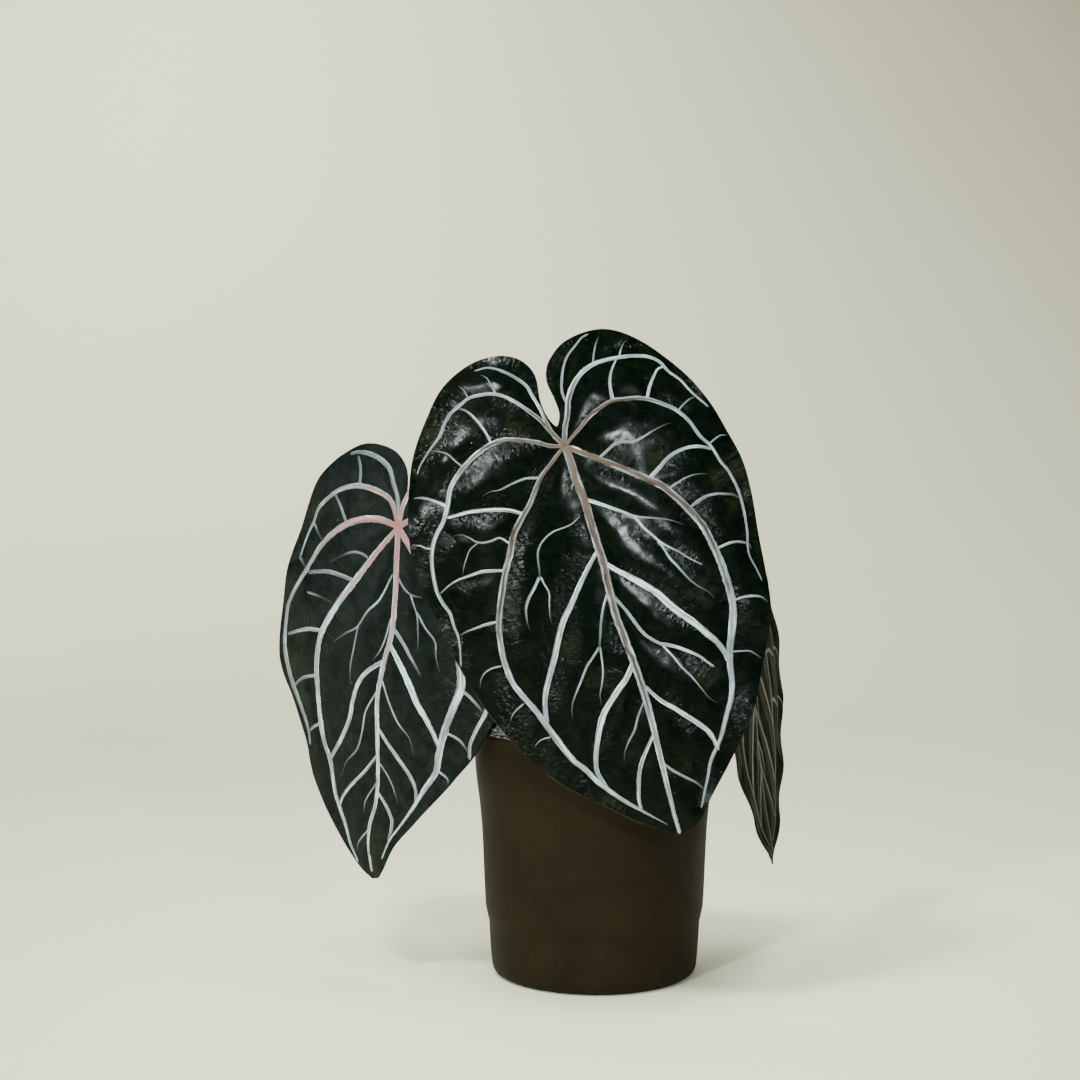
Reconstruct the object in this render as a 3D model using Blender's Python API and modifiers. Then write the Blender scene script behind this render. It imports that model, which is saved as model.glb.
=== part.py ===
"""Potted anthurium: three hanging heart-shaped leaves in a small nursery pot.

Metres, +Z up. The origin is the centre of the pot's underside and the largest leaf faces -Y.
The leaves are drawn as they are seen from one eye point in front of the plant, on a picture of
1080 x 1080 pixels. Each drawn point is carried along its line of sight onto the plane of its leaf.
"""
import math

import bmesh
import bpy
from mathutils import Vector, noise
from mathutils.geometry import delaunay_2d_cdt
from mathutils.kdtree import KDTree

# Driving dimensions
RIM_DIAMETER = 0.105
POT_HEIGHT = 0.1074
POT_WALL = 0.0012
POT_FLOOR = 0.0020
MIX_DEPTH_BELOW_RIM = 0.0125
GAP = 0.0003
BLADE_THICKNESS = 0.0009
RIB_THICKNESS = 0.0017
BLADE_CELL = 0.0075
MARGIN_STEP = 0.0049
MERGE_WITHIN = 0.0026
KEEP_CLEAR_OF_LINES = 0.0041
VEIN_HALF_WIDTH = 0.0014
VEIN_HEIGHT = 0.0009
EDGE_CLEARANCE = 0.95
VEIN_MARGIN_FADE = 0.0030
WAVE_FADE = 0.009
WAVES_ROUND_MARGIN = 13
QUILT_HEIGHT = 0.0016
QUILT_REACH = 0.0050
SAMPLE_STEP = 0.0010
SIGHT_STEPS = 8
PETIOLE_RADIUS = 0.0021
PETIOLE_FOOT_RADIUS = 0.0026
SWELLING_RADIUS = 0.0027
SWELLING_LENGTH = 0.014
FOOT_LENGTH = 0.020
STALK_PIECES = 18
BEHIND_BLADE = 0.0005
CROWN_RADIUS = 0.0090
CROWN_ABOVE_MIX = 0.0090
CROWN_IN_MIX = 0.0220
SOCKET_DEPTH = 0.0060
LUMP_HEIGHT = 0.0024
LUMP_SPREAD = 0.0075
LUMP_RINGS = 6
TURN_STEPS = 44
CROWN_STEPS = 32
CROWN_HOLE_SIDES = 32
SOCKET_SIDES = 24
DRAIN_HOLES = 6
DRAIN_HOLE_SIDES = 12
DRAIN_HOLE_RADIUS = 0.0040
DRAIN_RING_RADIUS = 0.0300
SHARP_EDGE = math.radians(35)
MERGE_ON_AXIS = 1e-5

# Outer wall of the pot from the foot to the lip, as (radius, height)
FOOT_ROUND = [(0.0405, 0.0), (0.0426, 0.0006), (0.0440, 0.0020), (0.0446, 0.0040)]
HEEL = [(0.0453, 0.0120), (0.0459, 0.0230), (0.0464, 0.0248), (0.0474, 0.0298)]
WALL = [(0.0479, 0.0400), (0.0487, 0.0600), (0.0495, 0.0710)]
FLARE = [(0.0503, 0.0780), (0.0512, 0.0850), (0.0518, 0.0920), (0.0521, 0.0990)]
LIP_LOW = 0.1050
LIP = [(0.0523, LIP_LOW), (RIM_DIAMETER / 2, 0.1060), (0.0522, POT_HEIGHT - 0.0004), (0.0517, POT_HEIGHT)]
LIP_INSIDE = (0.0511, POT_HEIGHT - 0.0004)
OUTER_WALL = FOOT_ROUND + HEEL + WALL + FLARE + LIP
SHORTEST_WALL_STEP = 0.001
MIX_TOP = POT_HEIGHT - MIX_DEPTH_BELOW_RIM

# Crown from its top to its foot, as (share of its radius, height from the top of the mix)
CROWN_SHAPE = [
    (0.55, CROWN_ABOVE_MIX - 0.0006), (0.85, CROWN_ABOVE_MIX - 0.0026), (0.94, CROWN_ABOVE_MIX - 0.0060),
    (1.0, -0.004), (0.92, 0.003 - CROWN_IN_MIX), (0.6, -CROWN_IN_MIX),
]

# The eye point that the leaves are drawn from, which looks along +Y and a little down
PICTURE_CENTRE = 540
RIM_WIDTH_DRAWN = 244
FOCAL_LENGTH_DRAWN = 2249
POT_AXIS_DRAWN = 595
EYE_DISTANCE = FOCAL_LENGTH_DRAWN * RIM_DIAMETER / RIM_WIDTH_DRAWN
EYE_HEIGHT = 0.2612
EYE_PITCH = math.radians(4.3)
EYE = Vector((
    (PICTURE_CENTRE - POT_AXIS_DRAWN) / FOCAL_LENGTH_DRAWN * EYE_DISTANCE,
    -EYE_DISTANCE,
    EYE_HEIGHT,
))

# Front leaf as drawn: outline from the notch round the left lobe, the tip and the right lobe
FRONT_JOINT = (565, 446)
FRONT_TIP = (681, 835)
FRONT_OUTLINE = [
    (557, 427), (548, 419), (540, 402), (534, 375), (520, 361), (499, 357), (470, 365), (443, 388),
    (427, 420), (413, 460), (409, 500), (410, 540), (417, 575), (435, 617), (456, 660), (486, 709),
    (524, 753), (562, 784), (600, 803), (640, 822), (665, 830), FRONT_TIP, (699, 820), (710, 798),
    (731, 759), (752, 711), (763, 661), (768, 633), (770, 606), (765, 570), (758, 533), (750, 490),
    (741, 458), (725, 428), (708, 401), (680, 370), (640, 341), (602, 330), (566, 341), (549, 362),
    (547, 380), (555, 399), (560, 414),
]
FRONT_VEINS = [
    [FRONT_JOINT, (578, 481), (591, 518), (608, 584), (631, 660), (651, 718), (666, 780), (679, 832)],
    [FRONT_JOINT, (601, 460), (647, 478), (690, 511), (721, 563), (733, 610), (730, 664), (731, 698),
     (720, 740), (708, 776), (701, 808)],
    [FRONT_JOINT, (579, 429), (600, 408), (639, 398), (676, 410), (711, 446), (735, 483), (747, 529),
     (762, 581)],
    [FRONT_JOINT, (568, 407), (573, 386), (594, 364), (638, 355), (668, 371), (708, 407)],
    [(567, 402), (562, 377), (575, 346), (588, 334)],
    [FRONT_JOINT, (546, 423), (533, 396), (510, 375), (474, 371)],
    [(549, 429), (515, 402), (481, 395), (451, 413), (433, 445), (417, 475)],
    [FRONT_JOINT, (527, 441), (492, 444), (463, 468), (447, 508), (433, 546), (437, 592), (458, 636),
     (461, 667)],
    [FRONT_JOINT, (541, 477), (522, 518), (506, 570), (499, 622), (507, 670), (536, 711), (573, 760),
     (623, 800), (668, 825)],
    [(603, 563), (644, 585), (683, 615), (730, 662)],
    [(595, 557), (571, 605), (550, 675), (545, 723)],
    [(588, 501), (640, 518), (685, 525)],
    [(613, 597), (644, 633), (714, 667)],
    [(649, 690), (685, 715), (717, 748)],
    [(632, 666), (604, 713), (596, 758), (608, 787)],
    [(663, 764), (685, 777), (705, 790)],
    [(652, 738), (639, 776), (641, 808)],
    [(650, 478), (678, 451), (711, 448)],
    [(613, 398), (610, 378), (616, 361)],
    [(522, 514), (483, 511), (450, 518)],
    [(503, 571), (469, 576), (441, 593)],
    [(491, 443), (478, 423), (459, 409)],
]

# Left leaf as drawn: what the front leaf hides of it is drawn in by hand
LEFT_JOINT = (399, 527)
LEFT_TIP = (372, 878)
LEFT_OUTLINE = [
    (404, 510), (407, 490), (407, 470), (398, 454), (384, 446), (367, 444), (350, 450), (334, 462),
    (321, 478), (310, 503), (300, 529), (290, 554), (284, 580), (280, 620), (282, 657), (290, 679),
    (297, 702), (305, 724), (314, 775), (324, 801), (337, 826), (350, 852), (359, 866), LEFT_TIP,
    (380, 876), (394, 846), (414, 823), (439, 798), (458, 775), (478, 750), (495, 721), (509, 680),
    (515, 640), (516, 600), (514, 560), (508, 525), (497, 497), (480, 475), (460, 463), (440, 460),
    (425, 466), (416, 480), (410, 497),
]
LEFT_VEINS = [
    [LEFT_JOINT, (396, 590), (384, 664), (378, 737), (376, 803), (370, 845), (372, 874)],
    [LEFT_JOINT, (356, 580), (321, 636), (318, 694), (325, 742), (336, 794), (357, 862)],
    [LEFT_JOINT, (367, 519), (335, 532), (302, 578), (285, 623), (295, 684), (311, 746)],
    [LEFT_JOINT, (392, 502), (367, 487), (327, 498), (304, 536), (296, 555)],
    [LEFT_JOINT, (394, 483), (382, 460), (350, 454)],
    [LEFT_JOINT, (425, 570), (453, 630), (461, 680), (444, 733), (425, 790), (382, 859)],
    [LEFT_JOINT, (432, 514), (480, 552), (498, 620), (492, 690), (470, 746)],
    [LEFT_JOINT, (410, 488), (440, 474), (482, 500), (505, 560)],
    [(393, 645), (418, 705), (437, 744)],
    [(381, 664), (353, 701), (333, 757)],
    [(378, 731), (401, 762), (416, 801)],
    [(377, 757), (351, 785), (340, 807)],
    [(377, 785), (392, 822), (390, 838)],
]

# Right leaf, which is seen almost edge-on: one half of its outline and veins, in millimetres,
# across and up from its joint
RIGHT_JOINT = (744, 596)
RIGHT_HALF_OUTLINE = [
    (4, 15), (9, 22), (16, 26), (24, 25), (32, 20), (40, 11), (47, -1), (54, -14), (58, -28),
    (57, -44), (51, -59), (43, -74), (33, -88), (21, -101), (11, -111), (4, -116),
]
RIGHT_NEAR_HALF_WIDTH = 0.84
RIGHT_NOTCH = (0, 8)
RIGHT_TIP = (0, -119)
RIGHT_MIDRIB = [(0, 0), (1, -40), (-1, -80), (0, -117)]
RIGHT_HALF_VEINS = [
    [(0, 0), (12, -4), (27, -20), (33, -44), (30, -68), (17, -97), (4, -112)],
    [(0, 0), (16, 4), (36, -5), (45, -28), (44, -55), (31, -82)],
    [(0, 0), (4, 11), (16, 19), (31, 13), (42, -6)],
    [(1, -24), (14, -38), (31, -58)],
    [(1, -50), (12, -62), (26, -76)],
    [(-1, -76), (8, -87), (16, -98)],
]


class Blade:
    """Where a leaf hangs, which way it faces and how its flat drawing is bent."""

    def __init__(self, name, joint_drawn, joint_y, yaw, lean, roll, cup, arch, lobes_back, wave):
        self.name = name
        self.tip_way = Vector((math.sin(math.radians(roll)), -math.cos(math.radians(roll))))
        turn, tilt = math.radians(yaw), math.radians(lean)
        facing = Vector((math.sin(turn), -math.cos(turn), 0))
        self.across = Vector((math.cos(turn), math.sin(turn), 0))
        self.up = math.cos(tilt) * Vector((0, 0, 1)) - math.sin(tilt) * facing
        self.face = self.across.cross(self.up)
        sight = sight_line(joint_drawn)
        self.joint = EYE + sight * ((joint_y - EYE.y) / sight.y)
        self.cup = cup
        self.arch = arch
        self.lobes_back = lobes_back
        self.wave = wave

    def flat_from_drawn(self, point):
        """Carries a drawn point along its line of sight onto the bent leaf, step by step."""
        sight = sight_line(point)
        flat = Vector((0, 0))
        for _ in range(SIGHT_STEPS):
            to_surface = self.joint - EYE + self.face * self.bend(flat)
            reach = to_surface.dot(self.face) / sight.dot(self.face)
            offset = EYE + sight * reach - self.joint
            flat = Vector((offset.dot(self.across), offset.dot(self.up)))
        return flat

    def in_space(self, flat, height):
        return self.joint + self.across * flat.x + self.up * flat.y + self.face * height

    def draw(self, outline, veins):
        """Keeps the flat outline, from tip to tip, and the flat veins."""
        self.margin = smooth_curve(outline, MARGIN_STEP)
        self.veins = [smooth_curve(vein, BLADE_CELL) for vein in veins]
        self.margin_samples = smooth_curve(outline, SAMPLE_STEP)
        self.margin_tree = tree_of(self.margin_samples)
        self.vein_tree = tree_of([p for vein in veins for p in smooth_curve(vein, SAMPLE_STEP)])

    def vein_distance(self, flat):
        return self.vein_tree.find(flat.to_3d())[2]

    def on_vein(self, flat):
        """1 along the middle of a vein, falling to 0 at its sides and at the margin."""
        from_margin = self.margin_tree.find(flat.to_3d())[2]
        across_vein = max(0, 1 - self.vein_distance(flat) / VEIN_HALF_WIDTH)
        return across_vein * min(1, from_margin / VEIN_MARGIN_FADE)

    def height(self, flat):
        """Height of the upper face above the plane of the leaf."""
        _, nearest, from_margin = self.margin_tree.find(flat.to_3d())
        turn = 2 * math.pi * WAVES_ROUND_MARGIN * nearest / len(self.margin_samples)
        from_joint = min(1.0, flat.length / (5 * WAVE_FADE))
        wave = self.wave * math.sin(turn) * math.exp(-from_margin / WAVE_FADE) * from_joint ** 2
        quilt_distance = max(0, self.vein_distance(flat) - VEIN_HALF_WIDTH)
        quilt = QUILT_HEIGHT * (1 - math.exp(-quilt_distance / QUILT_REACH))
        return self.bend(flat) + wave + quilt + VEIN_HEIGHT * self.on_vein(flat)

    def bend(self, flat):
        """Height of the bent leaf without its waves and veins."""
        along = flat.dot(self.tip_way)
        side = self.tip_way.cross(flat)
        return -self.cup * side ** 2 - (self.arch if along > 0 else self.lobes_back) * along ** 2


def sight_line(point):
    """Direction from the eye through a point of the picture."""
    right = point[0] - PICTURE_CENTRE
    rise = PICTURE_CENTRE - point[1]
    ahead = FOCAL_LENGTH_DRAWN
    return Vector((
        right,
        ahead * math.cos(EYE_PITCH) + rise * math.sin(EYE_PITCH),
        rise * math.cos(EYE_PITCH) - ahead * math.sin(EYE_PITCH),
    ))


def smooth_curve(points, step):
    """A smooth curve through flat points, with each span cut into pieces of about one step."""
    points = [Vector(p) for p in points]
    spans = [(b - a).length for a, b in zip(points, points[1:])]
    slopes = [(points[1] - points[0]) / spans[0]]
    for i in range(1, len(points) - 1):
        slopes.append((points[i + 1] - points[i - 1]) / (spans[i - 1] + spans[i]))
    slopes.append((points[-1] - points[-2]) / spans[-1])
    curve = [points[0]]
    for i, span in enumerate(spans):
        pieces = max(1, round(span / step))
        for k in range(1, pieces + 1):
            f = k / pieces
            curve.append(
                points[i] * (2 * f ** 3 - 3 * f ** 2 + 1) + points[i + 1] * (3 * f ** 2 - 2 * f ** 3)
                + slopes[i] * span * (f ** 3 - 2 * f ** 2 + f) + slopes[i + 1] * span * (f ** 3 - f ** 2)
            )
    return curve


def tree_of(flat_points):
    tree = KDTree(len(flat_points))
    for i, point in enumerate(flat_points):
        tree.insert(point.to_3d(), i)
    tree.balance()
    return tree


def inside(point, loop):
    """Whether a flat point lies inside a closed loop."""
    crossings = 0
    for a, b in zip(loop, loop[1:] + loop[:1]):
        if (a.y > point.y) != (b.y > point.y):
            crossings += point.x < a.x + (point.y - a.y) / (b.y - a.y) * (b.x - a.x)
    return crossings % 2 == 1


def beside(line, offset):
    """The points of a line moved sideways."""
    ways = [(b - a).normalized() for a, b in zip(line, line[1:])]
    ways.append(ways[-1])
    return [point + Vector((-way.y, way.x)) * offset for point, way in zip(line, ways)]


class Cells:
    """Points and sides that the flat leaf is split along."""

    def __init__(self, loop):
        self.loop = loop
        self.points = list(loop)
        self.sides = [(i, (i + 1) % len(loop)) for i in range(len(loop))]

    def nearest_to(self, point):
        return min(range(len(self.points)), key=lambda i: (self.points[i] - point).length_squared)

    def clearance(self, point):
        return (self.points[self.nearest_to(point)] - point).length

    def add_line(self, line):
        """Adds a line point by point, and joins it to what is already close by."""
        chain = []
        for point in line:
            if self.clearance(point) > MERGE_WITHIN:
                self.points.append(point)
            near = self.nearest_to(point)
            if near >= len(self.loop) and near not in chain:
                chain.append(near)
        self.sides += zip(chain, chain[1:])

    def add_beside(self, line, blade):
        """Adds the edges of a vein, except at its ends and where another vein is as close."""
        for offset in (-VEIN_HALF_WIDTH, VEIN_HALF_WIDTH):
            for point in beside(line, offset)[1:-1]:
                free = min(blade.vein_distance(point), self.clearance(point)) > VEIN_HALF_WIDTH * EDGE_CLEARANCE
                if free and inside(point, self.loop):
                    self.points.append(point)


def flat_cells(blade):
    """Splits the flat leaf into triangles whose sides follow the margin and the veins."""
    loop = blade.margin[:-1]
    cells = Cells(loop)
    for vein in blade.veins:
        cells.add_line(vein)
    for vein in blade.veins:
        cells.add_beside(vein, blade)
    low = Vector((min(p.x for p in loop), min(p.y for p in loop)))
    high = Vector((max(p.x for p in loop), max(p.y for p in loop)))
    row_step = BLADE_CELL * math.sqrt(3) / 2
    for row in range(int((high.y - low.y) / row_step) + 1):
        for column in range(int((high.x - low.x) / BLADE_CELL) + 1):
            point = low + Vector(((column + row % 2 / 2) * BLADE_CELL, row * row_step))
            if cells.clearance(point) > KEEP_CLEAR_OF_LINES and inside(point, loop):
                cells.points.append(point)
    split = delaunay_2d_cdt(cells.points, cells.sides, [list(range(len(loop)))], 1, 1e-7)
    return split[0], split[2]


def make_blade(blade, material):
    """A leaf blade: quilted between its veins, waved along its margin, thicker along its ribs."""
    flat_points, cells = flat_cells(blade)
    mesh = bpy.data.meshes.new(blade.name)
    corners = [blade.in_space(p, blade.height(p)) for p in flat_points]
    mesh.from_pydata(corners, [], cells)
    mesh.shade_smooth()
    leaf = add_object(blade.name, mesh, material)
    ribs = leaf.vertex_groups.new(name="ribs")
    for i, point in enumerate(flat_points):
        ribs.add([i], blade.on_vein(point), "REPLACE")
    shell = leaf.modifiers.new("thickness", "SOLIDIFY")
    shell.thickness = RIB_THICKNESS
    shell.offset = -1
    shell.vertex_group = ribs.name
    shell.thickness_vertex_group = BLADE_THICKNESS / RIB_THICKNESS
    return leaf


def add_object(name, data, material, collection=None):
    thing = bpy.data.objects.new(name, data)
    (collection or PLANT).objects.link(thing)
    if material:
        data.materials.append(material)
    return thing


def plain_material(name, colour, roughness):
    material = bpy.data.materials.new(name)
    material.use_nodes = True
    shader = material.node_tree.nodes["Principled BSDF"]
    shader.inputs["Base Color"].default_value = (*colour, 1)
    shader.inputs["Roughness"].default_value = roughness
    shader.inputs["Metallic"].default_value = 0
    return material


def turned(name, profile, steps, material):
    """Turns a profile of (radius, height) points about the vertical axis."""
    mesh = bpy.data.meshes.new(name)
    mesh.from_pydata([(r, 0, z) for r, z in profile], [(i, i + 1) for i in range(len(profile) - 1)], [])
    thing = add_object(name, mesh, material)
    screw = thing.modifiers.new("turn", "SCREW")
    screw.steps = steps
    screw.render_steps = steps
    screw.use_merge_vertices = True
    screw.merge_threshold = MERGE_ON_AXIS
    return thing


def cut(thing, cutter):
    boolean = thing.modifiers.new("cut", "BOOLEAN")
    boolean.operation = "DIFFERENCE"
    boolean.object = cutter


def round_cutter(name, radius, depth, sides, location, direction=Vector((0, 0, 1))):
    """A cylinder that starts at a place and runs along a direction."""
    mesh = bpy.data.meshes.new(name)
    shape = bmesh.new()
    bmesh.ops.create_cone(shape, cap_ends=True, segments=sides, radius1=radius, radius2=radius, depth=depth)
    shape.to_mesh(mesh)
    shape.free()
    cutter = add_object(name, mesh, None, CUTTERS)
    cutter.rotation_mode = "QUATERNION"
    cutter.rotation_quaternion = direction.to_track_quat("Z", "Y")
    cutter.location = location + direction.normalized() * depth / 2
    cutter.hide_render = True
    cutter.display_type = "WIRE"
    return cutter


def inner_wall(inset, low, high):
    """The outer wall moved inwards, between two heights."""
    least, most = low + SHORTEST_WALL_STEP, high - SHORTEST_WALL_STEP
    points = [(r - inset, z) for r, z in OUTER_WALL if least < z < most]
    return [(wall_radius(low) - inset, low)] + points + [(wall_radius(high) - inset, high)]


def wall_radius(height):
    """Radius of the outer wall at a height."""
    for (r0, z0), (r1, z1) in zip(OUTER_WALL, OUTER_WALL[1:]):
        if z0 <= height <= z1:
            return r0 + (r1 - r0) * (height - z0) / (z1 - z0)
    return OUTER_WALL[-1][0]


def make_pot(material):
    inside_wall = inner_wall(POT_WALL, POT_FLOOR, LIP_LOW) + [LIP_INSIDE]
    profile = [(0, POT_FLOOR)] + inside_wall + OUTER_WALL[::-1] + [(0, 0)]
    pot = turned("nursery_pot", profile, TURN_STEPS, material)
    for i in range(DRAIN_HOLES):
        angle = 2 * math.pi * i / DRAIN_HOLES
        place = Vector((math.cos(angle), math.sin(angle), 0)) * DRAIN_RING_RADIUS
        place.z = -POT_FLOOR
        cut(pot, round_cutter(f"drain_{i}", DRAIN_HOLE_RADIUS, 3 * POT_FLOOR, DRAIN_HOLE_SIDES, place))
    return pot


def make_mix(material):
    """The potting mix: a filled body with a lumpy top and a plain hole for the crown."""
    side = inner_wall(POT_WALL + GAP, POT_FLOOR + GAP, MIX_TOP)
    top = [(side[-1][0] * (1 - k / LUMP_RINGS), MIX_TOP) for k in range(1, LUMP_RINGS)]
    profile = [(0, MIX_TOP)] + top[::-1] + side[::-1] + [(0, POT_FLOOR + GAP)]
    mix = turned("potting_mix", profile, TURN_STEPS, None)
    solid = bpy.data.meshes.new_from_object(mix.evaluated_get(bpy.context.evaluated_depsgraph_get()))
    bpy.data.objects.remove(mix)
    top_edge = side[-1][0]
    for vertex in solid.vertices:
        place = vertex.co
        radius = math.hypot(place.x, place.y)
        if place.z > MIX_TOP - GAP and radius < top_edge - GAP:
            place.z += LUMP_HEIGHT * noise.noise(Vector((place.x, place.y, 0)) / LUMP_SPREAD)
    solid.set_sharp_from_angle(angle=SHARP_EDGE)
    mix = add_object("potting_mix", solid, material)
    depth = CROWN_IN_MIX + GAP
    bottom = Vector((0, 0, MIX_TOP - depth))
    cut(mix, round_cutter("crown_hole", CROWN_RADIUS + GAP, 2 * depth, CROWN_HOLE_SIDES, bottom))
    return mix


def make_crown(stalks, material):
    """The short stem, with a socket for the foot of each leaf stalk."""
    side = [(CROWN_RADIUS * share, MIX_TOP + rise) for share, rise in CROWN_SHAPE]
    profile = [(0, MIX_TOP + CROWN_ABOVE_MIX)] + side + [(0, MIX_TOP - CROWN_IN_MIX)]
    crown = turned("crown", profile, CROWN_STEPS, material)
    for stalk in stalks:
        start = stalk.foot - stalk.rise * SOCKET_DEPTH
        name = f"socket_{stalk.name}"
        radius = PETIOLE_FOOT_RADIUS + GAP
        cut(crown, round_cutter(name, radius, 3 * SOCKET_DEPTH, SOCKET_SIDES, start, stalk.rise))
    return crown


class Stalk:
    """A leaf stalk from its socket in the crown to the back of its blade."""

    def __init__(self, name, blade, foot, rise, rise_length, reach_length):
        self.name = name
        self.foot = Vector((*foot, MIX_TOP + CROWN_ABOVE_MIX))
        self.rise = Vector(rise).normalized()
        self.end = blade.joint - blade.face * (RIB_THICKNESS - VEIN_HEIGHT + BEHIND_BLADE)
        self.start = self.foot - self.rise * (SOCKET_DEPTH - GAP)
        self.bends = [self.start, self.start + self.rise * rise_length,
                      self.end - blade.face * reach_length, self.end]

    def centre_line(self, pieces):
        a, b, c, d = self.bends
        for k in range(pieces + 1):
            f = k / pieces
            g = 1 - f
            yield a * g ** 3 + b * (3 * f * g ** 2) + c * (3 * f ** 2 * g) + d * f ** 3


def make_stalk(stalk, material):
    """A round stalk with a thicker foot and the swelling that turns the blade."""
    line = list(stalk.centre_line(STALK_PIECES))
    curve = bpy.data.curves.new(stalk.name, "CURVE")
    curve.dimensions = "3D"
    curve.bevel_depth = PETIOLE_RADIUS
    curve.bevel_resolution = 2
    curve.use_fill_caps = True
    spline = curve.splines.new("POLY")
    spline.points.add(len(line) - 1)
    for point, place in zip(spline.points, line):
        to_foot = (place - line[0]).length
        to_blade = (place - line[-1]).length
        foot = max(0, 1 - to_foot / FOOT_LENGTH) * (PETIOLE_FOOT_RADIUS / PETIOLE_RADIUS - 1)
        swelling = max(0, 1 - to_blade / SWELLING_LENGTH) ** 0.5 * (SWELLING_RADIUS / PETIOLE_RADIUS - 1)
        point.co = (*place, 1)
        point.radius = 1 + foot + swelling
    return add_object(stalk.name, curve, material)


def from_tip(outline, tip):
    """The closed outline, listed from the tip round to the tip again."""
    start = outline.index(tip)
    return outline[start:] + outline[:start + 1]


def drawn_blade(name, joint, tip, outline, veins, **pose):
    """A blade whose outline and veins are drawn as the eye point sees them."""
    blade = Blade(name, joint, **pose)
    flat = blade.flat_from_drawn
    blade.draw([flat(p) for p in from_tip(outline, tip)], [[flat(p) for p in vein] for vein in veins])
    return blade


def near_half(points):
    return [(-x * RIGHT_NEAR_HALF_WIDTH, y) for x, y in points]


def measured_blade(name, joint, **pose):
    """The blade that is seen edge-on, from its half outline in millimetres."""
    blade = Blade(name, joint, **pose)
    near_side = near_half(RIGHT_HALF_OUTLINE[::-1])
    outline = [RIGHT_TIP] + near_side + [RIGHT_NOTCH] + RIGHT_HALF_OUTLINE + [RIGHT_TIP]
    veins = [RIGHT_MIDRIB] + RIGHT_HALF_VEINS + [near_half(vein) for vein in RIGHT_HALF_VEINS]
    blade.draw([Vector(p) / 1000 for p in outline], [[Vector(p) / 1000 for p in vein] for vein in veins])
    return blade


def clear_scene():
    for thing in list(bpy.data.objects):
        bpy.data.objects.remove(thing)


def new_collection(name):
    collection = bpy.data.collections.new(name)
    bpy.context.scene.collection.children.link(collection)
    return collection


clear_scene()
PLANT = new_collection("potted_anthurium")
CUTTERS = new_collection("cutters")

leaf_green = plain_material("leaf_green", (0.012, 0.030, 0.014), 0.35)
stalk_green = plain_material("stalk_green", (0.16, 0.17, 0.06), 0.45)
crown_brown = plain_material("crown_brown", (0.13, 0.08, 0.04), 0.80)
mix_brown = plain_material("mix_brown", (0.07, 0.045, 0.03), 0.95)
pot_plastic = plain_material("pot_plastic", (0.085, 0.065, 0.040), 0.60)

front = drawn_blade(
    "blade_front", FRONT_JOINT, FRONT_TIP, FRONT_OUTLINE, FRONT_VEINS,
    joint_y=-0.062, yaw=0, lean=7, roll=16.6, cup=2.6, arch=0.40, lobes_back=2.6, wave=0.0013,
)
left = drawn_blade(
    "blade_left", LEFT_JOINT, LEFT_TIP, LEFT_OUTLINE, LEFT_VEINS,
    joint_y=-0.010, yaw=-37, lean=4, roll=-5.8, cup=2.2, arch=0.30, lobes_back=2.4, wave=0.0013,
)
right = measured_blade(
    "blade_right", RIGHT_JOINT,
    joint_y=0.015, yaw=71, lean=5, roll=0, cup=0.3, arch=-0.25, lobes_back=3.0, wave=0.0007,
)
stalks = [
    Stalk("petiole_front", front, (0, -0.0047), (-0.05, -0.10, 1), 0.080, 0.050),
    Stalk("petiole_left", left, (-0.0043, 0.0024), (-0.30, 0.20, 1), 0.060, 0.040),
    Stalk("petiole_right", right, (0.0043, 0.0024), (0.22, 0.20, 1), 0.050, 0.035),
]

make_pot(pot_plastic)
make_mix(mix_brown)
make_crown(stalks, crown_brown)
for stalk in stalks:
    make_stalk(stalk, stalk_green)
for blade in (front, left, right):
    make_blade(blade, leaf_green)
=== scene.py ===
"""Looks of the potted anthurium, built round its solids.

Metres, in the frame of the solids: the origin is the centre of the pot's underside and the largest
leaf faces -Y. Leaves and veins are drawn as one eye point in front of the plant sees them, on a
picture of 1080 x 1080 pixels, and are carried along their lines of sight onto the bent leaves.
"""

import random
from math import cos, exp, pi, radians, sin, sqrt

import bmesh
import bpy
import numpy as np
from mathutils import Matrix, Vector, noise
from mathutils.geometry import delaunay_2d_cdt
from mathutils.kdtree import KDTree


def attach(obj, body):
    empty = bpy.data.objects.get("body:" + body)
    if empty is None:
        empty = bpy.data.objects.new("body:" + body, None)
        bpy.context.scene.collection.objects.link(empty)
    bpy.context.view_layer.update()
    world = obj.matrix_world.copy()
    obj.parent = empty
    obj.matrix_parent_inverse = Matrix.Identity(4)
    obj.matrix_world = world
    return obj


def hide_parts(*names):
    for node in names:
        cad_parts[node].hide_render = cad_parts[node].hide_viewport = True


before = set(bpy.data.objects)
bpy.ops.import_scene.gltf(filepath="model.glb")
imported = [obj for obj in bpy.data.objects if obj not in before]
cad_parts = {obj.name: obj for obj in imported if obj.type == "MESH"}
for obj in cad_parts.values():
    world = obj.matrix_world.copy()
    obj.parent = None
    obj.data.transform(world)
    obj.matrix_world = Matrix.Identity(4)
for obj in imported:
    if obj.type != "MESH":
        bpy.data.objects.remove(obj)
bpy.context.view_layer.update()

# Pot
RIM_DIAMETER = 0.105
POT_HEIGHT = 0.1074
POT_WALL = 0.0012
POT_FLOOR = 0.0020
POT_SHARP = radians(40)
INNER_RINGS = 40
INSIDE_CORNER = 0.0010
TURN_STEPS = 176
DRAIN_HOLES = 6
DRAIN_HOLE_RADIUS = 0.0040
DRAIN_RING_RADIUS = 0.0300
DRAIN_HOLE_SIDES = 32
FLOOR_RADII = [0.005, 0.012, 0.022, 0.030, 0.036]

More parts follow.
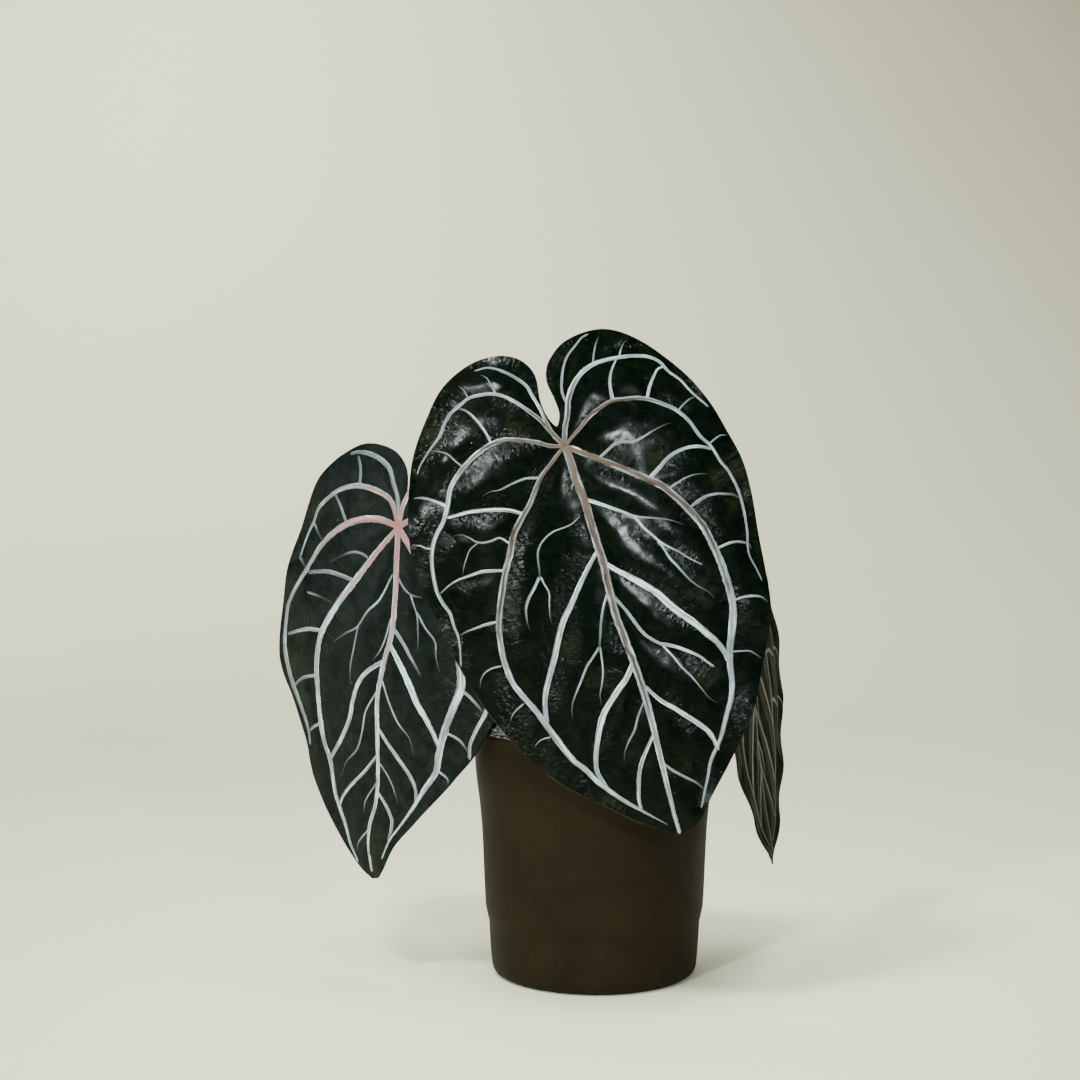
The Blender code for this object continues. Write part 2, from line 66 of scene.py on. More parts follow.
# Outer wall of the pot from the foot to the lip, as (radius, height)
FOOT_ROUND = [(0.0405, 0.0), (0.0426, 0.0006), (0.0440, 0.0020), (0.0446, 0.0040)]
HEEL = [(0.0453, 0.0120), (0.0459, 0.0230), (0.0464, 0.0248), (0.0474, 0.0298)]
WALL = [(0.0479, 0.0400), (0.0487, 0.0600), (0.0495, 0.0710)]
FLARE = [(0.0503, 0.0780), (0.0512, 0.0850), (0.0518, 0.0920), (0.0521, 0.0990)]
LIP = [(0.0523, 0.1050), (RIM_DIAMETER / 2, 0.1060), (0.0522, POT_HEIGHT - 0.0004), (0.0517, POT_HEIGHT)]
LIP_INSIDE = (0.0511, POT_HEIGHT - 0.0004)
OUTER_WALL = FOOT_ROUND + HEEL + WALL + FLARE + LIP

# Mix, its mound at the back left, and what lies on it
MIX_TOP = POT_HEIGHT - 0.0125
GAP = 0.0003
MIX_RINGS = 46
MIX_SIDE_RINGS = 24
MIX_STEPS = 132
MIX_EDGE = 0.0020
# Lumps, clods and crumbs of the mix's top, as (height, spread)
LUMPS = [(0.00144, 0.0075), (0.0009, 0.0022), (0.0004, 0.0009)]
MOUND_HEIGHT = 0.0070
MOUND_SPREAD = 0.0125
MOUND_PLACE = Vector((-0.0435, 0.0262, 0))
MOUND_CLEAR = 0.0150
HEAPED_GRAINS = 520
HEAPED_SIZE = 0.45
HEAP_RADIUS = 0.0491
HEAP_DEPTH = 0.0115
HEAP_TURN = radians(149)
HEAP_HALF_ANGLE = radians(22)
HEAP_TURN_STEP = 0.618
HEAP_DEPTH_STEP = 0.377
HEAP_CROWDING = 1.3
CLEAR_OF_CROWN = 0.003
CLEAR_OF_WALL = 0.0065
CROWDED_SHARE = 0.03
CHIP_SHARP = radians(24)
CHIP_LENGTHS = (0.8, 1.5)
CHIP_WIDTHS = (0.7, 1.0)
CHIP_TILT = (-0.5, 0.5)
CHIP_LIFT = (0.1, 0.7)
CHIP_NOISE_SCALE = 1.4

# Crown, roots, sheaths and stalks
CROWN_RADIUS = 0.0090
CROWN_TOP = MIX_TOP + 0.0090
CROWN_LOW = MIX_TOP - 0.0220
CROWN_RINGS = 40
CROWN_STEPS = 56
CROWN_FOOT = 0.62
CROWN_FOOT_END = 0.2
CROWN_ROUND_FROM = 0.80
CROWN_ROUND_LENGTH = 0.205
CROWN_LEAST_RADIUS = 0.0004
CROWN_LUMPS = [(0.07, 0.004), (0.03, 0.0012)]
SCARS = 9
SCAR_HEIGHT = 0.0005
SCAR_WIDTH = sqrt(0.02)
SCARS_END = 0.85
SOCKET_DEPTH = 0.0060
ROOTS = 6
ROOT_RADIUS = 0.0011
ROOT_PIECES = 26
ROOT_SIDES = 10
ROOT_WOBBLE = 0.18
ROOT_WOBBLE_SCALE = 300
ROOT_SEED_APART = 5.1
ROOT_UNEVEN = 0.25
ROOT_BOW = 0.004
ROOT_REACH = (0.017, 0.026)
ROOT_START_HEIGHT = (0.002, 0.005)
ROOT_MIDDLE_HEIGHT = (0.002, 0.0045)
ROOT_END_HEIGHT = -0.004
SHEATH_PIECES = 18
SHEATH_THICKNESS = 0.0003
SHEATH_CRUMPLE = 0.0003
SHEATH_GAP = 0.0005
SHEATH_FLARE = 0.0011
SHEATH_WAVE = 0.0002
SHEATH_HALF_TURN = 1.5
SHEATH_END_HALF_TURN = 0.12
SHEATH_SEAM = 0.7
SHEATH_SEAM_STEP = 1.9
SHEATH_SPAN = (0.055, 0.140)
SHEATH_TURNS = 9
STALK_RADIUS = 0.0021
STALK_FOOT_RADIUS = 0.0026
STALK_PIECES = 110
STALK_SIDES = 20
STALK_GROOVE = 0.10
GROOVE_WIDTH = 0.45
SWELLING_RADIUS = 0.0027
SWELLING_LENGTH = 0.014
SWELLING_RISE = 2.2
TINTED_LENGTH = 1.6 * SWELLING_LENGTH
WOBBLE = 0.00006
WOBBLE_SCALE = 90
FOOT_LENGTH = 0.020

# Leaves
SKIN = 0.0008
STALK_END_DEPTH = 0.6 * SKIN
CELL = 0.0013
CLEAR_OF_MARGIN = 0.6 * CELL
MARGIN_STEP = 0.0009
MARGIN_ROUND = 0.0003
BLADE_SHARP = radians(32)
FLAT_UNIT = 0.1
LANE_JUMP = 4.0
STREAK_FADE = 0.0035
# Way in each leaf's plane whose margin edges get a painted highlight
HIGHLIGHT_EDGE_WAY = Vector((-0.55, -0.83))
SAMPLE_STEP = 0.0010
STRAND_STEP = 0.0009
WAVE_FADE = 0.009
CALM_ROUND_JOINT = 0.045
WAVES_ROUND_MARGIN = 13
VALLEY_DEPTH = 0.0007
VALLEY_REACH = 0.0065
FINE_VALLEY_DEPTH = 0.00020
FINE_VALLEY_REACH = 0.0026
RIPPLE_HEIGHT = 0.00009
RIPPLE_SPREAD = 0.0055
SIGHT_STEPS = 8

# Kinds of vein, from the strongest to the finest, with what each kind has of its own
MAIN, BRANCH, FINE = 0, 1, 2
FINENESS = (0.88, 0.80, 0.74)
VEIN_HEIGHTS = (0.00034, 0.00026, 0.00018)
RIB_HEIGHTS = (0.0017, 0.0011, 0.0006)
WHITE_FADE = (0.25, 0.35, 0.95)

# Cross-sections of a vein on the upper face and of a rib on the lower one, as (share of the half
# width, share of the height)
VEIN_SECTION = [
    (-1.0, -0.12), (-0.72, 0.72), (-0.36, 1.0), (0.0, 0.86), (0.36, 1.0), (0.72, 0.72), (1.0, -0.12),
]
RIB_SECTION = [
    (1.0, -0.05), (0.80, 0.55), (0.35, 0.95), (0.0, 1.0), (-0.35, 0.95), (-0.80, 0.55), (-1.0, -0.05),
]
RIB_NARROWER = 0.62
SUNK = 0.00035
SUNK_NARROWER = 0.7
LEAST_HALF_WIDTH = 0.00016
RAGGED = 0.13
RAGGED_SCALE = 420
SEED_APART = 7.3
LEAST_RISE = 0.35
END_LENGTH = 1.5
END_SIZE = 0.25

# The eye point, which looks along +Y and a little down
PICTURE_SIZE = 1080
PICTURE_CENTRE = PICTURE_SIZE / 2
RIM_WIDTH_DRAWN = 244
FOCAL_LENGTH_DRAWN = 2249
POT_AXIS_DRAWN = 595
SENSOR_WIDTH = 36
EYE_DISTANCE = FOCAL_LENGTH_DRAWN * RIM_DIAMETER / RIM_WIDTH_DRAWN
EYE_PITCH = radians(4.3)
EYE = Vector((
    (PICTURE_CENTRE - POT_AXIS_DRAWN) / FOCAL_LENGTH_DRAWN * EYE_DISTANCE,
    -EYE_DISTANCE,
    0.2612,
))


# Each vein: share of its length that is tinted, how white it is, widths along it, points
def main(tinted, white, widths, *points):
    return MAIN, tinted, white, widths, points


def branch(widths, *points, white=0.7):
    return BRANCH, 0.0, white, widths, points


def fine(widths, *points, white=0.4):
    return FINE, 0.0, white, widths, points


# Front leaf as drawn
FRONT_JOINT = (565, 446)
FRONT_TIP = (681, 835)
FRONT_OUTLINE = [
    (557, 427), (548, 419), (540, 402), (534, 375), (520, 361), (499, 357), (470, 365), (443, 388),
    (427, 420), (413, 460), (409, 500), (410, 540), (417, 575), (435, 617), (456, 660), (486, 709),
    (524, 753), (562, 784), (600, 803), (640, 822), (665, 830), FRONT_TIP, (699, 820), (710, 798),
    (731, 759), (752, 711), (763, 661), (768, 633), (770, 606), (765, 570), (758, 533), (750, 490),
    (741, 458), (725, 428), (708, 401), (680, 370), (640, 341), (602, 330), (566, 341), (549, 362),
    (547, 380), (555, 399), (560, 414),
]
FRONT_VEINS = [
    main(0.85, 0.6, (11, 10.5, 9, 5), FRONT_JOINT, (571, 463), (576.5, 481), (584.5, 500), (589.5, 518),
        (597, 543), (603.5, 564), (608, 584), (616, 616), (625, 639), (640, 680), (651, 718), (661, 760),
        (671.5, 803.5), (680, 834)),
    main(0.62, 0.55, (7, 9, 10, 10, 6, 2), FRONT_JOINT, (573.5, 449.6), (601, 460), (621, 468),
        (647, 478.5), (664, 487), (677, 498), (690, 511), (703, 526), (713, 545), (721, 563), (726, 578),
        (731, 595), (733, 610), (732, 629), (730, 648), (730, 664), (732, 682), (731, 698), (727, 713),
        (720, 740), (711, 761), (708, 776), (701, 808)),
    main(0.42, 0.45, (5, 5.5, 4.6, 3.6, 2), FRONT_JOINT, (570, 440), (579, 429), (590, 416), (600, 408),
        (611.5, 401), (625, 399), (639, 398), (651, 400), (665, 405), (676, 410), (689, 421), (700, 436),
        (711, 446), (721, 462), (729, 472), (740, 496), (747, 529), (749, 553), (757, 570), (762, 581)),
    main(0.35, 0.75, (7, 7, 5, 3.5, 2.5), FRONT_JOINT, (565, 429), (567.5, 415), (568.5, 400), (573, 386),
        (582.5, 372), (594, 364), (608, 359.6), (621, 357), (638, 355.6), (650, 357), (660, 362),
        (668, 371), (680, 380), (689, 390), (696, 396.5), (708.5, 407)),
    branch((4, 4, 3, 2.5), (567, 404), (562, 392), (562, 377), (564, 365), (568, 355), (575, 346),
        (581.5, 338), (588.5, 334), white=0.25),
    main(0.30, 0.40, (7, 5, 4.2, 3.8, 1.5), FRONT_JOINT, (553.5, 434.6), (546.5, 423), (539.6, 408),
        (532.7, 396.5), (527, 387), (520, 381), (510, 375), (498, 370), (486.5, 368), (474, 371)),
    main(0.25, 0.45, (5.5, 4.8, 4.5, 3.8, 1.5), (552, 434), (540, 420), (527, 410), (515, 402),
        (504, 396.5), (492, 394), (481, 395), (469, 398), (460, 405), (451, 413), (445, 423), (440, 436),
        (433.5, 445), (426.5, 455), (420, 466), (417, 475)),
    main(0.45, 0.65, (5, 5.8, 6.8, 6, 5.2, 4, 2), FRONT_JOINT, (550, 446), (538.5, 442.7), (527, 441),
        (515, 440), (504, 440), (492, 444), (481, 451), (471.5, 459), (463.5, 468), (455, 480), (450, 491),
        (447.3, 508), (443, 523), (437, 534), (433, 546), (431.7, 561), (433.5, 576), (437, 592),
        (443, 603.5), (450, 613), (454, 626.5), (458, 636), (460, 647), (461, 667)),
    main(0.60, 0.6, (4.5, 6, 8, 8.5, 8, 7.5, 7, 8, 7, 5, 1), FRONT_JOINT, (559, 453), (550, 465),
        (541, 477), (535, 491), (530, 504), (522, 518), (514, 534), (510, 554), (506, 570), (503, 587),
        (500.4, 605), (499, 622), (500, 639), (503, 657), (507, 670), (514, 685), (525, 698.5), (536, 711),
        (553.5, 735), (573, 760), (586, 770), (596, 780), (610, 791), (623, 800), (646, 813), (668, 825)),
    branch((6, 8, 10, 9.5, 8.5, 7), (600, 560), (614, 569), (628, 576), (644, 585), (658, 594), (670, 605),
        (683, 615), (696, 624), (707, 633.5), (716, 641), (724, 651), (729, 662), white=1.0),
    branch((5, 7.5, 8.5, 8, 7), (599, 548), (586, 572), (579, 587), (571, 605), (563, 622), (558.5, 639),
        (554.6, 658), (550, 675), (546, 691.5), (545, 705), (547, 726)),
    branch((6, 4.5, 3.5), (584, 499), (600, 504), (611.5, 508), (623, 512), (633, 516)),
    fine((3.5, 2, 1), (630, 515), (640, 517), (655, 518), (670, 520), (685, 525)),
    branch((4, 3.5, 2.5, 1), (630, 514), (637, 520), (644, 528.5), (652, 535), (659, 541), (667, 546),
        (678.5, 551.5), (690, 558.5), (703, 565)),
    fine((3.5, 3, 1), (657, 540), (663.5, 548), (670, 558.5), (680, 569), (689, 579), (698, 586),
        (708.5, 592), (715.4, 599.4)),
    branch((4, 4.5, 5, 4), (610, 592), (620, 603.5), (628, 613), (636, 624), (644, 633.5), (653, 640),
        (664, 645.5)),
    branch((4, 5, 4, 2.5), (660, 643.5), (673, 646), (685, 650), (699, 656), (710, 664), (714.6, 667)),
    fine((3.5, 3, 1), (662, 645), (672, 655), (681, 666), (691.5, 676.5), (701, 688), (710, 698.5),
        (718, 703)),
    branch((4, 6, 7.5, 6), (644, 685), (660, 700), (674, 708), (685, 715), (699, 724), (710, 733),
        (719, 750)),
    branch((7, 8.5, 8.5, 7, 4), (634, 661), (626, 679), (619, 689), (611, 701), (604, 713.5),
        (599.6, 728.5), (597, 745), (596, 758.5), (597, 771), (602, 780), (609, 790)),
    fine((3.5, 4, 3), (660, 761), (674, 771), (685, 777), (697, 783), (706, 791)),
    branch((4, 5.5, 6, 5), (655, 731), (646, 751.5), (641.5, 763), (639, 776), (638.7, 787), (639, 800),
        (642, 811)),
    fine((3, 3.5, 3), (608, 592), (603, 609), (601, 622), (600, 638), (599, 652)),
    fine((3.5, 3.5, 1.5), (600, 646), (593, 657), (587, 666), (583.5, 675), (579, 686), (574, 698.5),
        (572, 708), (572.5, 719)),
    fine((3, 3, 1.2), (600, 646), (603, 670), (602, 683.5), (600, 695), (602, 706.5)),
    fine((2, 3.5, 1), (645, 699), (638, 717), (634.6, 730), (629, 741), (625, 751.5), (624, 763)),
    fine((1.2, 2.5, 3, 4), (580, 516), (573, 523), (566, 527), (553, 532), (543, 541), (538.5, 550),
        (538, 560), (539.6, 571), (539.6, 580)),
    fine((4.5, 4.5, 1), (540, 576), (535, 587), (529, 598), (526, 608), (527, 621), (530, 631)),
    fine((3, 2.5, 1), (540, 576), (544, 584), (549, 593), (549.4, 605), (550, 616), (552, 624)),
    fine((4, 3, 1), (541, 478), (527, 478.5), (519, 481), (510, 485), (500, 490), (490, 492), (482, 497)),
    branch((5, 6, 5, 4), (524, 514.5), (510, 510.6), (498, 510), (483, 510.6), (469, 512), (458, 515),
        (447, 518), white=0.95),
    fine((3, 3.5, 2.5, 1.2), (512, 546), (504, 540), (499, 538), (492, 541), (483, 543), (476, 542),
        (469, 538), (461, 535), (452, 536.5)),
    fine((2.2, 2, 1.2), (478, 543), (470, 550), (466, 560), (463.5, 569), (463, 576)),
    branch((4, 4.5, 3, 1.5), (505, 570.5), (492, 571), (481, 572), (469, 576), (458, 580), (448.5, 586),
        (440, 594)),
    fine((4, 4.5, 3, 2), (499, 621.5), (485, 625), (474, 629), (466, 632), (458.5, 637)),
    fine((3, 2.5, 1), (502, 666), (492, 668.5), (485, 673), (481, 680), (480, 689)),
    fine((2.2, 2, 1), (524, 703.5), (516.5, 710), (512, 716), (510, 723)),
    fine((2.2, 2, 1), (551, 737), (541, 740), (536, 745), (534, 749)),
    fine((5, 4.5, 4, 2), (448, 507), (439, 503), (431, 500), (422, 498), (413, 498.5), white=0.65),
    fine((3, 2.5, 2), (432, 549), (425, 548), (421, 546), (411.5, 546)),
    fine((2.5, 2.5, 2), (464, 468), (455, 461), (448.5, 455), (440, 452), (430, 451)),
    fine((4, 4, 3), (492, 445), (485, 432), (478.5, 423), (470, 414), (463.5, 410), (456, 408.5)),
    fine((3, 2.5, 1), (496.5, 395), (491, 385), (486.5, 378), (480, 374.6)),
    fine((2.5, 2, 1), (468, 398), (463.5, 390), (458, 386)),
    fine((3.5, 2.5, 1), (593, 364), (594, 353), (596, 343.5), (599, 336.5)),
    fine((3, 2, 0.8), (619, 358), (621, 349), (625, 341)),
    branch((6, 4, 3.5, 2.5), (613, 401), (610, 387), (610, 378), (612, 369), (617, 358), white=0.85),
    branch((4.5, 4, 3), (647, 399), (650, 386), (654, 376), (658, 369), (665, 366), white=0.85),
    fine((2.8, 2.5, 2), (678, 411), (683, 405), (690, 399), (697, 396.5)),
    fine((3, 2.5, 2), (709, 444), (716, 438), (721, 435), (728, 435)),
    branch((6.5, 5.5, 5, 4), (648, 480), (659, 468), (668, 458), (678.5, 451), (690, 447), (701.5, 446.7),
        (713, 449)),
    fine((3, 2.5, 1), (667, 490.5), (678.5, 482), (690, 476), (699, 474), (708.5, 474)),
    fine((4, 4.5, 4, 3), (688, 509), (698.5, 501), (707, 496), (716, 494), (726, 494), (734, 495),
        (740, 499)),
    fine((3.5, 4, 3), (716, 549), (727, 544), (734, 542), (742, 542), (749, 544), (752, 549)),
    fine((3, 4, 2.5), (732, 601), (743.5, 597), (753, 596), (761, 597), (767.5, 602)),
    fine((2.8, 2.5, 2), (731, 651.5), (742, 651), (750, 651), (758.5, 656), (762.5, 658.5)),
    branch((4, 6, 3), (569, 447), (573, 447.5), (579, 450), (586, 454), white=1.0),
    fine((3.5, 2), (575, 481), (572, 486), (571.5, 491), white=0.6),
    fine((4, 4.5, 3, 1), (598, 459), (607, 451), (615, 444), (623, 441.5), (632, 442), (641.5, 438),
        (651, 432), (661, 426.5), (671.5, 422.5)),
]

# Left leaf as drawn: what the front leaf hides of it is drawn in
LEFT_JOINT = (399, 527)
LEFT_TIP = (372, 878)
LEFT_OUTLINE = [
    (404, 510), (407, 490), (407, 470), (398, 454), (384, 446), (367, 444), (350, 450), (334, 462),
    (321, 478), (310, 503), (301, 529), (293, 554), (287, 580), (281, 620), (281, 654), (285, 675),
    (291, 693), (297, 710), (303, 726), (308, 742), (311, 760), (315, 779), (324, 801), (337, 826),
    (350, 852), (359, 866), LEFT_TIP, (380, 876), (394, 846), (414, 823), (439, 798), (458, 775),
    (478, 750), (495, 721), (509, 680), (515, 640), (516, 600), (514, 560), (508, 525), (497, 497),
    (480, 475), (460, 463), (440, 460), (425, 466), (416, 480), (410, 497),
]
LEFT_VEINS = [
    main(0.62, 1.0, (7, 6.5, 6, 5, 4, 3), LEFT_JOINT, (397, 560), (395.5, 599), (392, 632), (384, 664),
        (378, 694), (377.5, 723), (378, 751), (378, 777), (376, 803), (369.5, 827), (368.5, 848),
        (372, 872)),
    main(0.30, 0.8, (5.5, 7, 8, 7, 6, 5, 2), LEFT_JOINT, (375, 555), (356, 580), (334, 610), (321, 636),
        (317, 664), (318.5, 694), (321, 720), (325, 742), (330.5, 759.5), (333, 777), (336, 794),
        (341, 809), (347, 827), (351, 844), (357.6, 862.5)),
    main(0.45, 0.45, (6, 7, 6, 5.5, 6.5, 6.5, 3), LEFT_JOINT, (382, 520), (367, 519), (350, 523),
        (335, 532), (321, 546), (312, 561), (302, 578), (294, 592), (288, 606), (286, 623), (285.5, 642),
        (288.5, 664), (293, 684), (299, 701), (305, 716), (309.5, 731), (311.5, 745)),
    main(0.42, 0.55, (5.5, 5.5, 5, 4, 3), LEFT_JOINT, (392, 502), (382, 493), (367, 487), (354, 486),
        (340, 490), (328.5, 498.5), (319, 509), (313.5, 522), (307, 537), (300.5, 557)),
    main(0.20, 0.15, (5, 5.5, 5, 3), LEFT_JOINT, (398, 498), (394, 483), (390, 469), (382, 460), (371, 454),
        (359.5, 452), (350, 454)),
    main(0.30, 0.8, (6, 8, 8, 9, 8, 6, 3, 1.5), LEFT_JOINT, (408, 543), (425, 570), (444, 605), (456, 640),
        (461, 668), (461, 688), (453, 710), (444, 733.5), (439, 755), (436, 772.5), (425, 790), (414, 807),
        (401, 824.5), (390, 840), (382.5, 859)),
    main(0.30, 0.8, (6, 7, 6, 5, 3), LEFT_JOINT, (412, 520), (432, 516), (458, 530), (480, 556), (493, 590),
        (499, 625), (499, 660), (493, 695), (485.5, 715), (477, 731), (470, 746.5), (469, 760)),
    main(0.25, 0.8, (6, 6, 5, 3), LEFT_JOINT, (404, 505), (414, 488), (430, 477), (450, 476), (470, 486),
        (488, 506), (499, 535), (506, 566)),
    branch((4, 4, 3), (360, 487), (361, 469), (358.5, 455), white=0.1),
    branch((4.5, 4, 3), (347, 523), (341, 506), (335, 493), white=0.10),
    branch((4.5, 5, 4), (357, 583), (352, 580), (340, 575), (327, 571.5), (308, 572), white=0.10),
    branch((5, 4.5, 4), (321, 630.5), (308, 629), (288, 634), white=0.15),
    branch((4, 4, 3), (318, 675), (303, 678), (294, 686), white=0.30),
    fine((4, 3), (321, 723), (314, 727), (308, 733)),
    fine((4, 3), (312.5, 521), (317, 529), (322, 541), white=0.0),
    fine((4, 3), (299.5, 556), (303, 562), (306.5, 569), white=0.0),
    fine((3, 3, 2), (369, 559), (363, 554), (354, 552), (340, 557), (331, 562), white=0.0),
    fine((3, 3, 2), (308, 592), (320, 596), (333, 603), white=-0.1),
    branch((5, 7, 8, 6, 5), (389, 642), (401, 666), (410, 686), (418, 705), (427, 720.5), (433.5, 733.5),
        (440, 750), white=1.0),
    fine((5, 4.5, 3), (393, 628), (403, 642), (410, 655), (416, 666), (421.5, 676)),
    fine((3, 2.5, 1.5), (397, 576), (405, 589), (412, 595), (424, 598)),
    fine((2.5, 2, 1.2), (411, 594), (414, 603), (418, 616), (419, 634), (419, 653)),
    fine((2.2, 2.5, 1.2), (418, 612), (427, 629), (436, 642), (437, 658), (441, 673)),
    branch((5, 5.5, 6, 5), (384, 661), (368, 671), (358, 684), (353, 701), (350, 718), (342, 738),
        (330, 760)),
    fine((2.2, 3, 3, 2), (393, 574), (381, 599), (368, 612), (358, 627), (347, 633), (334, 642)),
    fine((2.5, 2.5, 1.2), (360, 623), (355, 647), (351, 668), (351, 686)),
    fine((2.2, 2.5, 1.2), (391, 618), (385, 640), (379, 653), (372, 661)),
    fine((2.2, 2.5, 2.5, 1.2), (377, 691), (366, 712), (363, 731), (358, 749), (347, 762), (342, 777)),
    fine((2.5, 2.5, 1.2), (381, 678), (390, 703), (399, 723), (410, 738), (415, 756)),
    branch((3.5, 4.5, 5, 4), (377.5, 727), (390, 746.5), (401, 762), (412, 779), (416.5, 792), (416, 804)),
    branch((3.5, 4, 4), (378, 755), (364, 772.5), (351, 785.5), (343.5, 796), (339, 808)),
    branch((3.5, 4, 3), (377, 790), (388, 809), (392, 822), (388.5, 842)),
    fine((2.2, 2, 1.2), (377, 782), (366, 801), (364.5, 813)),
    fine((2.2, 2, 1.2), (379, 762), (392, 783), (399, 805)),
    fine((2, 2, 1), (369, 829), (359, 842), (356.5, 852)),
    fine((4, 4, 3), (461, 690), (472.5, 699), (485, 714)),
    fine((3, 3, 1.5), (446, 733), (459.5, 740), (468, 753)),
    fine((3, 3, 1.5), (438, 771), (448, 779), (449, 785.5)),
    branch((4, 5, 4), (459, 650), (470, 640), (484, 636), (499, 642)),
    branch((4, 5, 4), (437, 590), (452, 578), (470, 574), (488, 580)),
    branch((4, 4.5, 3), (455, 529), (466, 516), (480, 508), (490, 512)),
    fine((3, 3, 2), (499, 640), (507, 642), (513, 650)),
    fine((3, 3, 2), (494, 593), (503, 592), (512, 598)),
]
LEFT_STRETCH = 1.36

# Right leaf, which is seen almost edge-on: one half of its outline and of its hidden veins, in
# millimetres across and up from its joint
RIGHT_JOINT = (744, 596)
RIGHT_NEAR_HALF_WIDTH = 0.84
RIGHT_NOTCH = (0, 8)
RIGHT_TIP = (0, -119)
RIGHT_HALF_OUTLINE = [
    (4, 15), (9, 22), (16, 26), (24, 25), (32, 20), (40, 11), (47, -1), (54, -14), (58, -28), (57, -44),
    (51, -59), (43, -74), (33, -88), (21, -101), (11, -111), (4, -116),
]
RIGHT_VEINS = [
    main(0.6, 0.1, (2.8, 2.4, 2.0, 1.0), (0, 0), (1, -20), (1, -40), (0, -60), (-1, -80), (0, -100),
        (0, -117)),
    main(0.3, 0.1, (2.2, 2.6, 2.6, 2.2, 1.6, 0.8), (0, 0), (10, -3), (19, -10), (27, -21), (32, -35),
        (33, -50), (30, -68), (24, -84), (15, -98), (5, -110)),
    main(0.3, 0.0, (2.0, 2.0, 1.6, 1.0), (0, 0), (14, 5), (27, 3), (38, -5), (45, -20), (47, -37),
        (44, -54), (37, -70)),
    main(0.2, 0.0, (2.0, 2.0, 1.6, 0.8), (0, 0), (4, 11), (13, 18), (25, 17), (36, 8), (44, -4)),
    branch((1.8, 2.6, 2.8, 2.2), (0, -22), (9, -31), (18, -41), (26, -52), (31, -62)),
    branch((1.6, 2.4, 2.4, 1.8), (0, -48), (7, -58), (15, -69), (21, -81), (23, -87)),
    branch((1.4, 1.8, 1.2), (-1, -74), (5, -83), (10, -92), (13, -101)),
    branch((1.8, 2.0, 1.4), (19, -10), (27, -9), (36, -13), (43, -14)),
    branch((1.8, 2.0, 1.4), (30, -29), (37, -28), (46, -32)),
    branch((1.8, 2.0, 1.4), (32, -51), (38, -51), (44, -55)),
    fine((1.2, 1.2, 0.6), (0, -32), (5, -43), (7, -54), (12, -61)),
    fine((1.2, 1.2, 0.6), (0, -62), (4, -71), (7, -81)),
    fine((1.4, 1.4, 0.8), (46, -28), (51, -29), (56, -34)),
    fine((1.4, 1.4, 0.8), (45, -50), (49, -52), (52, -56)),
    fine((1.4, 1.4, 0.8), (15, 5), (18, 11), (24, 16)),
    fine((1.2, 1.2, 0.7), (32, 0), (35, 4), (37, 8)),
]

# How each leaf hangs: where its joint is, the way it faces, in degrees, and how it bends
FRONT_POSE = dict(joint_y=-0.062, yaw=0, lean=7, roll=16.6, cup=2.6, arch=0.40, lobes_back=2.6, wave=0.0013)
LEFT_POSE = dict(joint_y=-0.010, yaw=-37, lean=4, roll=-5.8, cup=2.2, arch=0.30, lobes_back=2.4, wave=0.0006)
RIGHT_POSE = dict(joint_y=0.015, yaw=71, lean=5, roll=0, cup=0.3, arch=-0.25, lobes_back=3.0, wave=0.0007)


def sight_line(point):
    """Direction from the eye through a point of the picture."""
    right, rise = point[0] - PICTURE_CENTRE, PICTURE_CENTRE - point[1]
    ahead = FOCAL_LENGTH_DRAWN
    return Vector((
        right,
        ahead * cos(EYE_PITCH) + rise * sin(EYE_PITCH),
        rise * cos(EYE_PITCH) - ahead * sin(EYE_PITCH),
    ))


def smooth_curve(points, step):
    """A smooth curve through flat points, with each span cut into pieces of about one step."""
    points = [Vector(p) for p in points]
    spans = [(b - a).length for a, b in zip(points, points[1:])]
    slopes = [(points[1] - points[0]) / spans[0]]
    for i in range(1, len(points) - 1):
        slopes.append((points[i + 1] - points[i - 1]) / (spans[i - 1] + spans[i]))
    slopes.append((points[-1] - points[-2]) / spans[-1])
    curve = [points[0]]
    for i, span in enumerate(spans):
        pieces = max(1, round(span / step))
        for k in range(1, pieces + 1):
            f = k / pieces
            curve.append(
                points[i] * (2 * f ** 3 - 3 * f ** 2 + 1) + points[i + 1] * (3 * f ** 2 - 2 * f ** 3)
                + slopes[i] * span * (f ** 3 - 2 * f ** 2 + f) + slopes[i + 1] * span * (f ** 3 - f ** 2)
            )
    return curve


def headings(line):
    """The way that a line takes at each of its points."""
    ways = [b - a for a, b in zip(line, line[2:])]
    return [w.normalized() for w in [line[1] - line[0]] + ways + [line[-1] - line[-2]]]


def lengths_walked(line):
    walked = [0.0]
    for a, b in zip(line, line[1:]):
        walked.append(walked[-1] + (b - a).length)
    return walked


def polar(radius, turn):
    return Vector((radius * cos(turn), radius * sin(turn)))


def tree_of(flat_points):
    tree = KDTree(len(flat_points))
    for i, point in enumerate(flat_points):
        tree.insert(point.to_3d(), i)
    tree.balance()
    return tree


def between(values, share):
    """The value at a share of an evenly spread list."""
    return np.interp(share * (len(values) - 1), range(len(values)), values)


def inside(points, loop):
    """Which of the flat points lie inside a closed loop."""
    x, y = points.T
    found = np.zeros(len(points), bool)
    for (x0, y0), (x1, y1) in zip(loop, np.roll(loop, -1, axis=0)):
        if y0 != y1:
            found ^= ((y0 > y) != (y1 > y)) & (x < x0 + (y - y0) / (y1 - y0) * (x1 - x0))
    return found


class Vein:
    """One vein on the flat leaf: its number, its looks, its half widths and its line."""

    def __init__(self, seed, looks, half_widths, points):
        self.seed = seed
        self.kind, self.tinted, self.white = looks
        self.half_widths = half_widths
        self.line = smooth_curve(points, STRAND_STEP)
        self.samples = smooth_curve(points, SAMPLE_STEP)


